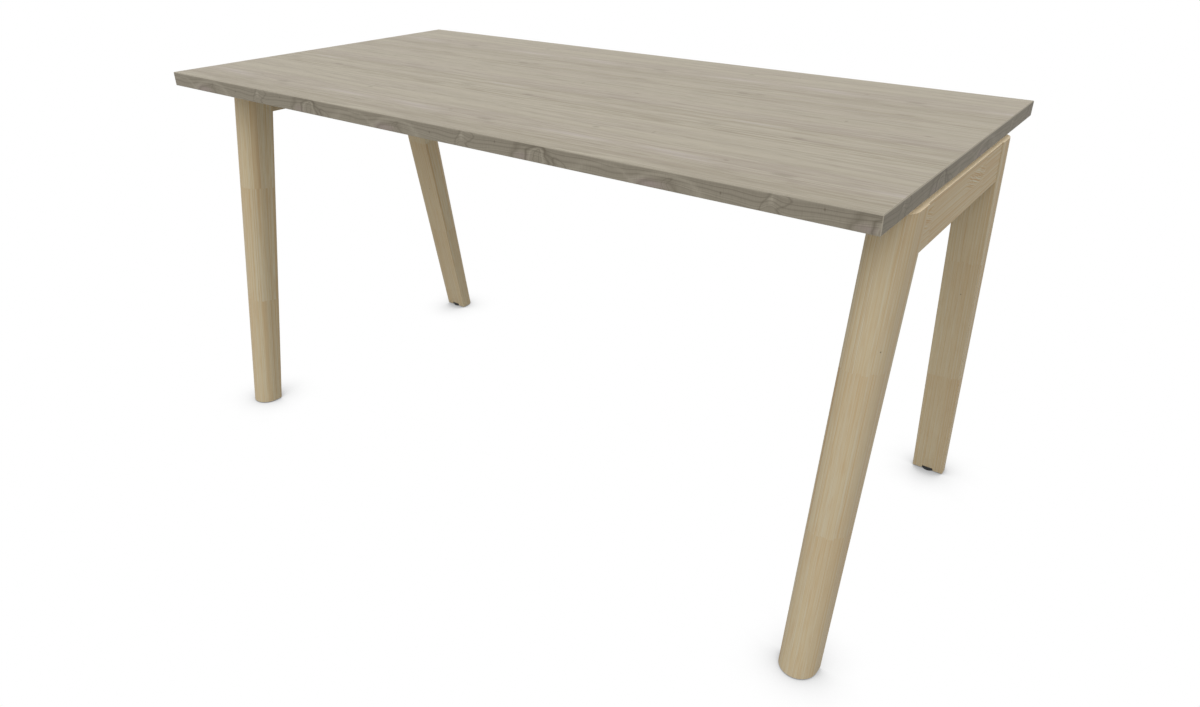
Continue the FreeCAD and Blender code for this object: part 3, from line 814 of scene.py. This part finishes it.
def leg_tree():
    """The rear right leg: tapering, with a full half-round nose, a foot pocket and a bore."""
    tree, given = new_shape_tree("Tapered leg", {
        "Width": "Float", "Height": "Float", "Foot Depth": "Float", "Top Depth": "Float",
        "Splay": "Float", "Easing": "Float", "Steps": "Int", "Top Inner": "Vector",
        "Foot": "Vector", "Pocket Radius": "Float", "Pocket Height": "Float", "Bore Radius": "Float",
        "Bore Height": "Float", "Mirror": "Vector", "First Joint": "Float", "Material": "Material"})
    drill_steps, merge_within = 48, 0.02 * MM
    half_depth = add(tree, "ShaderNodeMath", {0: given["Foot Depth"], 1: 0.5}, operation="MULTIPLY")
    half_width = add(tree, "ShaderNodeMath", {0: given["Width"], 1: 0.5}, operation="MULTIPLY")
    place = add(tree, "GeometryNodeInputPosition")
    axes = add(tree, "ShaderNodeSeparateXYZ", {0: place})

    # Level section at the foot: small easings inside, two quarter rounds that meet outside.
    outline = add(tree, "GeometryNodeCurvePrimitiveQuadrilateral", {
        "Width": given["Width"], "Height": given["Foot Depth"]})
    outer = add(tree, "FunctionNodeCompare", {0: axes.outputs["Y"], 1: 0.0}, operation="GREATER_THAN")
    corner_radius = add(tree, "GeometryNodeSwitch", {
        "Switch": outer, "False": given["Easing"], "True": half_width}, input_type="FLOAT")
    rounded = add(tree, "GeometryNodeFilletCurve", {
        "Curve": outline, "Count": given["Steps"], "Radius": corner_radius}, mode="POLY")
    sole = add(tree, "GeometryNodeFillCurve", {"Curve": rounded}, mode="NGONS")
    lift = add(tree, "ShaderNodeCombineXYZ", {"Z": given["Height"]})
    walls = add(tree, "GeometryNodeExtrudeMesh", {
        "Mesh": sole, "Offset": lift, "Offset Scale": 1.0, "Individual": False})
    joined = add(tree, "GeometryNodeJoinGeometry")
    for part in (walls, add(tree, "GeometryNodeFlipFaces", {"Mesh": sole})):
        tree.links.new(part.outputs[0], joined.inputs[0])
    block = add(tree, "GeometryNodeMergeByDistance", {"Geometry": joined, "Distance": merge_within})

    # Upwards the nose moves out to the full depth, and the whole section moves in with the splay.
    share = add(tree, "ShaderNodeMath", {0: axes.outputs["Z"], 1: given["Height"]}, operation="DIVIDE")
    inner_limit = add(tree, "ShaderNodeMath", {
        0: add(tree, "ShaderNodeMath", {0: given["Easing"], 1: 2.0}, operation="MULTIPLY"),
        1: half_depth}, operation="SUBTRACT")
    on_nose = add(tree, "ShaderNodeMath", {0: axes.outputs["Y"], 1: inner_limit},
                  operation="GREATER_THAN")
    gain = add(tree, "ShaderNodeMath", {0: given["Top Depth"], 1: given["Foot Depth"]},
               operation="SUBTRACT")
    widening = add(tree, "ShaderNodeMath", {
        0: add(tree, "ShaderNodeMath", {0: gain, 1: share}, operation="MULTIPLY"), 1: on_nose},
        operation="MULTIPLY")
    drop = add(tree, "ShaderNodeMath", {0: given["Height"], 1: axes.outputs["Z"]},
               operation="SUBTRACT")
    lean = add(tree, "ShaderNodeMath", {
        0: drop, 1: add(tree, "ShaderNodeMath", {0: given["Splay"]}, operation="TANGENT")},
        operation="MULTIPLY")
    outward = add(tree, "ShaderNodeMath", {0: widening, 1: lean}, operation="ADD")
    outward = add(tree, "ShaderNodeMath", {0: outward, 1: half_depth}, operation="ADD")
    leaned = add(tree, "GeometryNodeSetPosition", {
        "Geometry": block, "Offset": add(tree, "ShaderNodeCombineXYZ", {"Y": outward})})
    top_inner = add(tree, "ShaderNodeSeparateXYZ", {0: given["Top Inner"]})
    base = add(tree, "ShaderNodeCombineXYZ", {
        "X": top_inner.outputs["X"], "Y": top_inner.outputs["Y"],
        "Z": add(tree, "ShaderNodeMath", {0: top_inner.outputs["Z"], 1: given["Height"]},
                 operation="SUBTRACT")})
    leg = add(tree, "GeometryNodeSetPosition", {"Geometry": leaned, "Offset": base})

    # Foot pocket and the bore of its insert, cut from below.
    for radius, height in (("Pocket Radius", "Pocket Height"), ("Bore Radius", "Bore Height")):
        drill = add(tree, "GeometryNodeMeshCylinder", {
            "Vertices": drill_steps, "Radius": given[radius],
            "Depth": add(tree, "ShaderNodeMath", {0: given[height], 1: 2.0}, operation="MULTIPLY")})
        drill = add(tree, "GeometryNodeTransform", {
            "Geometry": drill.outputs["Mesh"], "Translation": given["Foot"]})
        leg = add(tree, "GeometryNodeMeshBoolean", {"Mesh 1": leg, "Mesh 2": drill},
                  operation="DIFFERENCE", solver="EXACT")

    # Grain: across the leg, outwards, and along it from the first finger joint. Outwards it is
    # counted as at the foot, so that the growth lines taper with the leg.
    from_top = add(tree, "ShaderNodeVectorMath", {0: place, 1: given["Top Inner"]},
                   operation="SUBTRACT")
    turned = add(tree, "ShaderNodeVectorRotate", {
        "Vector": from_top, "Center": (0.0, 0.0, 0.0), "Angle": given["Splay"]},
        rotation_type="X_AXIS", invert=True)
    turned = add(tree, "ShaderNodeSeparateXYZ", {0: turned})
    level = add(tree, "ShaderNodeMath", {
        0: add(tree, "ShaderNodeMath", {0: turned.outputs["Z"], 1: given["Height"]},
               operation="DIVIDE"), 1: 1.0}, operation="ADD")
    flat_foot = add(tree, "ShaderNodeMath", {0: given["Foot Depth"], 1: half_width},
                    operation="SUBTRACT")
    flat_here = add(tree, "ShaderNodeMath", {0: gain, 1: level, 2: flat_foot}, operation="MULTIPLY_ADD")
    inside = add(tree, "ShaderNodeMath", {0: turned.outputs["Y"], 1: flat_here}, operation="MINIMUM")
    beyond = add(tree, "ShaderNodeMath", {0: turned.outputs["Y"], 1: inside}, operation="SUBTRACT")
    squeezed = add(tree, "ShaderNodeMath", {
        0: inside, 1: add(tree, "ShaderNodeMath", {0: flat_foot, 1: flat_here}, operation="DIVIDE"),
        2: beyond}, operation="MULTIPLY_ADD")
    grain = add(tree, "ShaderNodeCombineXYZ", {
        "X": turned.outputs["X"], "Y": squeezed,
        "Z": add(tree, "ShaderNodeMath", {
            0: add(tree, "ShaderNodeMath", {0: turned.outputs["Z"], 1: -1.0}, operation="MULTIPLY"),
            1: given["First Joint"]}, operation="SUBTRACT")})
    leg = add(tree, "GeometryNodeStoreNamedAttribute", {
        "Geometry": leg, "Name": "grain", "Value": grain}, data_type="FLOAT_VECTOR", domain="POINT")

    mirror = add(tree, "ShaderNodeSeparateXYZ", {0: given["Mirror"]})
    handed = add(tree, "ShaderNodeMath", {0: mirror.outputs["X"], 1: mirror.outputs["Y"]},
                 operation="MULTIPLY")
    leg = add(tree, "GeometryNodeTransform", {"Geometry": leg, "Scale": given["Mirror"]})
    leg = add(tree, "GeometryNodeFlipFaces", {
        "Mesh": leg, "Selection": add(tree, "ShaderNodeMath", {0: handed, 1: 0.0},
                                      operation="LESS_THAN")})
    end_shape_tree(tree, leg, given["Material"])
    return tree


def copies_tree():
    """One made part on every point, its own +Z turned to the point's "aim"."""
    tree, given = new_shape_tree("Copies on points", {"Part": "Object", "Material": "Material"})
    part = add(tree, "GeometryNodeObjectInfo", {"Object": given["Part"]})
    aim = add(tree, "GeometryNodeInputNamedAttribute", {"Name": "aim"}, data_type="FLOAT_VECTOR")
    turn = add(tree, "FunctionNodeAlignRotationToVector", {"Vector": aim}, axis="Z")
    copies = add(tree, "GeometryNodeInstanceOnPoints", {
        "Points": given["Geometry"], "Instance": part.outputs["Geometry"], "Rotation": turn})
    end_shape_tree(tree, copies, given["Material"])
    return tree


def weld_tree():
    """A rippled bead round each tube end: one loop on every point, in the plane across X."""
    tree, given = new_shape_tree("Weld bead", {
        "Width": "Float", "Height": "Float", "Corner": "Float", "Bead": "Float", "Pitch": "Float",
        "Material": "Material"})
    points_a_ripple, swing = 4.0, 0.12       # swing is how much the bead's radius changes, as a share
    outline = add(tree, "GeometryNodeCurvePrimitiveQuadrilateral", {
        "Width": given["Height"], "Height": given["Width"]})
    outline = add(tree, "GeometryNodeFilletCurve", {
        "Curve": outline, "Count": 6, "Radius": given["Corner"]}, mode="POLY")
    step = add(tree, "ShaderNodeMath", {0: given["Pitch"], 1: points_a_ripple}, operation="DIVIDE")
    outline = add(tree, "GeometryNodeResampleCurve", {"Curve": outline, "Length": step}, mode="LENGTH")
    gone = add(tree, "GeometryNodeSplineParameter").outputs["Length"]
    turn = add(tree, "ShaderNodeMath", {
        0: add(tree, "ShaderNodeMath", {0: gone, 1: given["Pitch"]}, operation="DIVIDE"), 1: 2 * pi},
        operation="MULTIPLY")
    ripple = add(tree, "ShaderNodeMath", {
        0: add(tree, "ShaderNodeMath", {0: turn}, operation="SINE"), 1: swing, 2: 1 - swing},
        operation="MULTIPLY_ADD")
    radius = add(tree, "ShaderNodeMath", {0: ripple, 1: given["Bead"]}, operation="MULTIPLY")
    section = add(tree, "GeometryNodeCurvePrimitiveCircle", {"Resolution": 8, "Radius": 1.0},
                  mode="RADIUS")
    bead = add(tree, "GeometryNodeCurveToMesh", {
        "Curve": outline, "Profile Curve": section, "Scale": radius})
    copies = add(tree, "GeometryNodeInstanceOnPoints", {
        "Points": given["Geometry"], "Instance": bead, "Rotation": (0.0, pi / 2, 0.0)})
    end_shape_tree(tree, copies, given["Material"])
    return tree


# --- Operators -----------------------------------------------------------------------------------

class DESK_OT_board(bpy.types.Operator):
    """Finishes the top board and makes its four rounded edge bands"""
    bl_idname = "desk.board"
    bl_label = "Board and edge bands"

    def execute(self, context):
        board = context.scene.desk_board
        dress(melamine_board(board), "top_board")
        material = edge_band(board)
        low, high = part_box("top_board")
        outer_low = Vector((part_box("edge_band_left")[0].x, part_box("edge_band_front")[0].y, low.z))
        outer_high = Vector((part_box("edge_band_right")[1].x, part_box("edge_band_rear")[1].y, high.z))
        beyond = Vector((0, 0, OVERSHOOT))
        for side in (*FACES, *SIDES):
            name = "edge_band_" + side
            rim = box_solid(name + "_abs", outer_low, outer_high)
            rounding = rim.modifiers.new("Rounding", "BEVEL")
            rounding.width, rounding.segments = board.band_rounding, 4
            made_plain(rim)
            combined(rim, [box_solid("core", low - beyond, high + beyond)])
            combined(rim, [box_solid("part", *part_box(name))], "INTERSECT")
            at_side = side in SIDES
            along = Vector((0, 1, 0)) if at_side else Vector((1, 0, 0))
            start = at_side * board.side_shift - outer_low.dot(along)
            set_grain(rim, lambda p: (p.dot(along) + start, at_side, high.z - p.z))
            finished(rim, "desk", "edge_band", material, name)
        return {"FINISHED"}


class DESK_OT_frames(bpy.types.Operator):
    """Makes the four tapering legs and the two rails between them"""
    bl_idname = "desk.frames"
    bl_label = "Timber end frames"

    def execute(self, context):
        wood, steel = context.scene.desk_timber, context.scene.desk_steel
        material = lacquered_ash(wood)
        low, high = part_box("leg_rear_right")
        pad_low, pad_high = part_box("foot_pad_rear_right")
        insert_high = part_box("leg_inserts")[1]
        height = high.z - low.z
        foot_depth = high.y - low.y - height * tan(wood.leg_splay)
        foot = Vector(((pad_low.x + pad_high.x) / 2, (pad_low.y + pad_high.y) / 2, 0))
        tree = leg_tree()
        for number, (face, side) in enumerate(CORNERS):
            shift = (LEG_BLOCKS[0] + number * LEG_BLOCKS[1]) * wood.block_length
            name = f"leg_{face}_{side}"
            leg = grown(name + "_ash", tree, {
                "Width": high.x - low.x, "Height": height, "Foot Depth": foot_depth,
                "Top Depth": wood.leg_depth_top, "Splay": wood.leg_splay, "Easing": wood.easing,
                "Steps": wood.nose_steps, "Top Inner": ((low.x + high.x) / 2, low.y, high.z),
                "Foot": foot, "Pocket Radius": (pad_high.x - pad_low.x) / 2 + wood.pocket_gap,
                "Pocket Height": pad_high.z, "Bore Radius": wood.insert_bore,
                "Bore Height": insert_high.z + wood.bore_beyond,
                "Mirror": (SIDES[side], FACES[face], 1),
                "First Joint": wood.leg_first_joint - shift, "Material": material})
            finished(leg, "desk", "timber", material, name)

        off_middle, from_joint = 12 * MM, 150 * MM     # the rails' place in their blocks
        for number, side in enumerate(SIDES):
            name = "rail_" + side
            low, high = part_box(name)
            middle = (low + high) / 2
            outline = rounded_outline(high.x - low.x, high.z - low.z, wood.easing)

            def end(face):
                def place(u, v):
                    z = middle.z + v
                    return middle.x + u, face * (high.y - (z - low.z) * tan(wood.leg_splay)), z
                return place

            rail = prism(name + "_ash", outline, end(-1), end(1))
            combined(rail, [
                round_bar("hole", (middle.x, way * steel.rail_spacer_pitch / 2), steel.driver_hole,
                          low.z - OVERSHOOT, high.z - steel.rail_seat) for way in (-1, 1)])
            shift = (RAIL_BLOCKS[0] + number * RAIL_BLOCKS[1]) * wood.block_length
            set_grain(rail, lambda p: ((p.z - middle.z) * wood.rail_cut + off_middle,
                                       SIDES[side] * (p.x - middle.x), p.y + from_joint + shift))
            finished(rail, "desk", "timber", material, name)
        dress(material, "frame_dowels")
        return {"FINISHED"}


def plate_places(steel):
    """Each end plate's name, side, the middle of its inner face, and its two bolts' places there."""
    for face, side in CORNERS:
        low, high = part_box(f"beam_plate_{face}_{side}")
        middle = (low + high) / 2
        middle.x = low.x if side == "right" else high.x
        bolts = [middle + Vector((0, way * steel.bolt_spacing / 2, 0)) for way in (-1, 1)]
        yield f"beam_plate_{face}_{side}", side, middle, bolts


def screw_places(steel):
    """Where wood screws pass from the rails and from the tubes into the top, at the frames' height."""
    places = {"rails": [], "beams": []}
    for side in SIDES:
        low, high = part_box("rail_" + side)
        places["rails"] += [Vector(((low.x + high.x) / 2, way * steel.rail_spacer_pitch / 2, high.z))
                            for way in (-1, 1)]
    for face in FACES:
        low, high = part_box("beam_" + face)
        places["beams"] += [Vector((way * steel.beam_spacer_pitch, (low.y + high.y) / 2, high.z))
                            for way in (-1, 0, 1)]
    return places


def screw(name, shank, length, tip, head, socket, steps=24):
    """A button-head screw, its head on +Z and the head's underside at 0. Sizes in mm.

    tip and head are a radius and a height, and socket is its width across the flats and its depth.
    """
    radius, height = head
    across, depth = socket
    dome = ((1.0, 0.2), (0.93, 0.5), (0.78, 0.8), (0.58, 0.96), (0.5, 1.0))    # shares of the head
    profile = [(tip[0], -length), (shank, tip[1] - length), (shank, 0), (radius - 0.2, 0),
               (radius, 0.2)]
    profile += [(radius * out, height * up) for out, up in dome]
    key = round_bar("key", (0, 0), across / 2 / cos(pi / 6) * MM, (height - depth) * MM,
                    height * MM + OVERSHOOT, steps=6)
    return combined(turned(name, profile, steps), [key])


def across_x(x, middle):
    """Turns an outline point into a place on the plane across X there, round the middle."""
    return lambda u, v: (x, middle.y + u, middle.z + v)


class DESK_OT_steel(bpy.types.Operator):
    """Makes the tubes, their welded end plates, the screws and the spacers"""
    bl_idname = "desk.steel"
    bl_label = "Tubes, plates, screws and spacers"

    def execute(self, context):
        steel = context.scene.desk_steel
        coat, zinc, plastic = powder_coat(steel), zinc_plate(steel), polyamide(steel)
        places = screw_places(steel)
        for face in FACES:
            name = "beam_" + face
            low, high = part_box(name)
            middle, size = (low + high) / 2, high - low
            tube = prism(name + "_steel", rounded_outline(size.y, size.z, steel.tube_corner),
                         across_x(low.x, middle), across_x(high.x, middle))
            bore = rounded_outline(size.y - 2 * steel.tube_wall, size.z - 2 * steel.tube_wall,
                                   steel.tube_corner - steel.tube_wall)
            tools = [prism("bore", bore, across_x(low.x - OVERSHOOT, middle),
                           across_x(high.x + OVERSHOOT, middle))]
            for place in places["beams"]:
                if place.y * middle.y > 0:
                    tools += [
                        round_bar("hole", place, steel.screw_hole, middle.z, high.z + OVERSHOOT),
                        round_bar("hole", place, steel.driver_hole, low.z - OVERSHOOT, middle.z)]
            finished(combined(tube, tools), "desk", "powder_coat", coat, name)

        ends, bolts, aims = [], [], []
        for name, side, middle, holes in plate_places(steel):
            low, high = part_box(name)
            size = high - low
            plate = prism(name + "_steel", rounded_outline(size.y, size.z, steel.plate_corner, 6),
                          across_x(low.x, middle), across_x(high.x, middle))
            edge = plate.modifiers.new("Dressed edge", "BEVEL")
            edge.width, edge.segments, edge.angle_limit = steel.plate_edge, 2, radians(60)
            made_plain(plate)
            combined(plate, [
                round_bar("hole", (hole.y, hole.z), steel.plate_hole, low.x - OVERSHOOT,
                          high.x + OVERSHOOT, axis="X", steps=24) for hole in holes])
            finished(plate, "desk", "powder_coat", coat, name)
            ends.append(middle)
            bolts += holes
            aims += [(-SIDES[side], 0, 0)] * 2
        low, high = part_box("beam_front")
        welds = grown("weld_beads", weld_tree(), {
            "Width": high.y - low.y, "Height": high.z - low.z, "Corner": steel.tube_corner,
            "Bead": steel.weld_bead, "Pitch": steel.weld_pitch, "Material": coat}, ends)
        finished(welds, "desk", "powder_coat", coat)

        copies = copies_tree()
        plate_face = abs(bolts[0].x)
        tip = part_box("beam_plate_bolts")[1].x
        bolt = screw("bolt", 4, (tip - plate_face) / MM, tip=(3.2, 0.8), head=(7, 4.4), socket=(5, 2.6))
        models = {"beam_plate_bolts": (bolt, bolts, aims)}
        for group, points in places.items():
            node = "top_screws_" + group
            low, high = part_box(node)
            head_seat = low.z + steel.screw_head
            model = screw("screw", 2.5, (high.z - head_seat) / MM, tip=(0.2, 4),
                          head=(5, steel.screw_head / MM), socket=(4, 1.8), steps=20)
            models[node] = (model, [(place.x, place.y, head_seat) for place in points],
                            [(0, 0, -1)] * len(points))
        for node, (model, points, ways) in models.items():
            piece = grown(node + "_zinc", copies, {"Part": model, "Material": zinc}, points, ways)
            finished(piece, "desk", "zinc_steel", zinc, node)
            bpy.data.objects.remove(model)

        gap_low, gap_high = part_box("top_spacers")
        height = (gap_high.z - gap_low.z) / MM
        hole = steel.screw_hole / MM
        model = turned("spacer", [(11.4, 0), (12, 0.6), (12, height - 0.6), (11.4, height),
                                  (hole, height), (hole, 0)], 32, hollow=True)
        points = [(place.x, place.y, gap_low.z) for group in places.values() for place in group]
        piece = grown("top_spacers_nylon", copies, {"Part": model, "Material": plastic}, points,
                      [(0, 0, 1)] * len(points))
        finished(piece, "desk", "black_plastic", plastic, "top_spacers")
        bpy.data.objects.remove(model)
        dress(zinc, "rail_inserts", "leg_inserts")
        return {"FINISHED"}


class DESK_OT_feet(bpy.types.Operator):
    """Makes the four levelling feet: moulded pads on threaded stems"""
    bl_idname = "desk.feet"
    bl_label = "Levelling feet"

    def execute(self, context):
        steel = context.scene.desk_steel
        zinc, plastic = bpy.data.materials[ZINC], bpy.data.materials[POLYAMIDE]
        copies = copies_tree()
        pad_low, pad_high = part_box("foot_pad_rear_right")
        stem_low, stem_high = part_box("foot_stem_rear_right")
        radius = (pad_high.x - pad_low.x) / 2 / MM
        height = pad_high.z / MM
        socket, socket_floor = 7.6, 2.6
        pad = turned("pad", [
            (radius - 1.4, 0), (radius - 1.0, 0.05), (radius - 0.3, 0.55), (radius, 1.2),
            (radius, height - 0.4), (radius - 0.4, height), (socket, height), (socket, socket_floor)],
            steps=48)
        inside_head = 5 * MM
        rod = threaded_rod("rod", steel.stem_radius, steel.thread_depth, steel.thread_pitch,
                           inside_head, stem_high.z)
        head = round_bar("head", (0, 0), steel.stem_head, stem_low.z, pad_high.z, steps=6)
        stem = combined(rod, [head], "UNION")
        for face, side in CORNERS:
            low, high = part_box(f"foot_pad_{face}_{side}")
            place = [((low.x + high.x) / 2, (low.y + high.y) / 2, 0)]
            for node, model, slot, material in (("foot_pad", pad, "black_plastic", plastic),
                                                ("foot_stem", stem, "zinc_steel", zinc)):
                name = f"{node}_{face}_{side}"
                piece = grown(name + "_made", copies, {"Part": model, "Material": material}, place,
                              [(0, 0, 1)])
                finished(piece, f"foot_{face}_{side}", slot, material, name)
        for model in (pad, stem):
            bpy.data.objects.remove(model)
        return {"FINISHED"}


class DESK_OT_stage(bpy.types.Operator):
    """Sets the pale floor, the soft light and the camera"""
    bl_idname = "desk.stage"
    bl_label = "Stage, light and camera"

    def execute(self, context):
        stage = context.scene.desk_stage
        half = stage.floor_size / 2
        corners = [(-half, -half, 0), (half, -half, 0), (half, half, 0), (-half, half, 0)]
        floor = new_object("floor", corners, [(0, 1, 2, 3)])
        floor.data.materials.append(floor_paint(stage))
        floor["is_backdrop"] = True
        context.scene.world = sky(stage)
        context.scene.view_settings.view_transform = "Standard"

        lamp = bpy.data.objects.new("soft_lamp", bpy.data.lights.new("soft_lamp", "SUN"))
        lamp.data.energy, lamp.data.angle = stage.lamp, stage.lamp_softness
        out = Vector((cos(stage.lamp_azimuth), sin(stage.lamp_azimuth), tan(stage.lamp_height)))
        lamp.rotation_euler = out.to_track_quat("Z", "Y").to_euler()
        context.scene.collection.objects.link(lamp)

        camera = bpy.data.objects.new("camera", bpy.data.cameras.new("camera"))
        camera.data.lens, camera.data.sensor_width = stage.lens, 36.0
        camera.location = stage.camera
        camera.rotation_euler = (pi / 2 - stage.camera_pitch, 0, stage.camera_yaw)
        context.scene.collection.objects.link(camera)
        context.scene.camera = camera
        return {"FINISHED"}


def seen_directly(tree):
    """1 for what the camera, a gloss or a glass sees of the stage, and 0 for the light it throws."""
    rays = add(tree, "ShaderNodeLightPath").outputs
    seen = add(tree, "ShaderNodeMath", {0: rays["Is Camera Ray"], 1: rays["Is Glossy Ray"]},
               operation="MAXIMUM")
    return add(tree, "ShaderNodeMath", {0: seen, 1: rays["Is Transmission Ray"]}, operation="MAXIMUM")


def floor_paint(stage):
    """Matt paint: seen as white, darkened close round what stands on it."""
    material, tree = new_material("Floor, matt paint")
    contact = add(tree, "ShaderNodeAmbientOcclusion", {"Distance": stage.contact_reach}, samples=16)
    shadow = add(tree, "ShaderNodeValToRGB", {"Fac": contact.outputs["AO"]},
                 ramp=[(0.0, grey(0.05)), (0.55, grey(0.53)), (0.67, grey(0.78)), (0.91, grey(1.0))])
    seen = add(tree, "ShaderNodeEmission", {"Color": shadow, "Strength": 1.0})
    thrown = add(tree, "ShaderNodeBsdfDiffuse", {"Color": stage.floor})
    both = add(tree, "ShaderNodeMixShader", {0: seen_directly(tree), 1: thrown, 2: seen})
    add(tree, "ShaderNodeOutputMaterial", {"Surface": both})
    return material


def sky(stage):
    """White where it is seen; as a light, an even dome."""
    world = bpy.data.worlds.new("Studio dome")
    world.use_nodes = True
    tree = world.node_tree
    tree.nodes.clear()
    thrown = add(tree, "ShaderNodeBackground", {"Color": linear("FFFFFF"), "Strength": stage.dome})
    seen = add(tree, "ShaderNodeBackground", {"Color": linear("FFFFFF"), "Strength": 1.0})
    both = add(tree, "ShaderNodeMixShader", {0: seen_directly(tree), 1: thrown, 2: seen})
    add(tree, "ShaderNodeOutputWorld", {"Surface": both})
    return world


# --- Panel and registration ----------------------------------------------------------------------

SETTINGS = {"desk_board": BoardSettings, "desk_timber": TimberSettings, "desk_steel": SteelSettings,
            "desk_stage": StageSettings}
OPERATORS = (DESK_OT_board, DESK_OT_frames, DESK_OT_steel, DESK_OT_feet, DESK_OT_stage)


class DESK_PT_panel(bpy.types.Panel):
    """Lists the desk's settings and the operators that make its pieces"""
    bl_idname = "DESK_PT_panel"
    bl_label = "Writing desk"
    bl_space_type = "VIEW_3D"
    bl_region_type = "UI"
    bl_category = "Desk"

    def draw(self, context):
        for name, group in SETTINGS.items():
            box = self.layout.box()
            for label in group.__annotations__:
                box.prop(getattr(context.scene, name), label)
        for operator in OPERATORS:
            self.layout.operator(operator.bl_idname)


def register():
    for group in (*SETTINGS.values(), *OPERATORS, DESK_PT_panel):
        bpy.utils.register_class(group)
    for name, group in SETTINGS.items():
        setattr(bpy.types.Scene, name, PointerProperty(type=group))


def unregister():
    for name in SETTINGS:
        delattr(bpy.types.Scene, name)
    for group in (DESK_PT_panel, *OPERATORS, *SETTINGS.values()):
        bpy.utils.unregister_class(group)


def box_now():
    """The corners of the box round all pieces that are seen, as they are now."""
    bpy.context.view_layer.update()
    return [list(corner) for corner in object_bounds()]


def main():
    register()
    cad_box = box_now()
    for operator in OPERATORS:
        group, name = operator.bl_idname.split(".")
        getattr(getattr(bpy.ops, group), name)()
    {"cad": cad_box, "visual": box_now()}


if __name__ == "__main__":
    main()
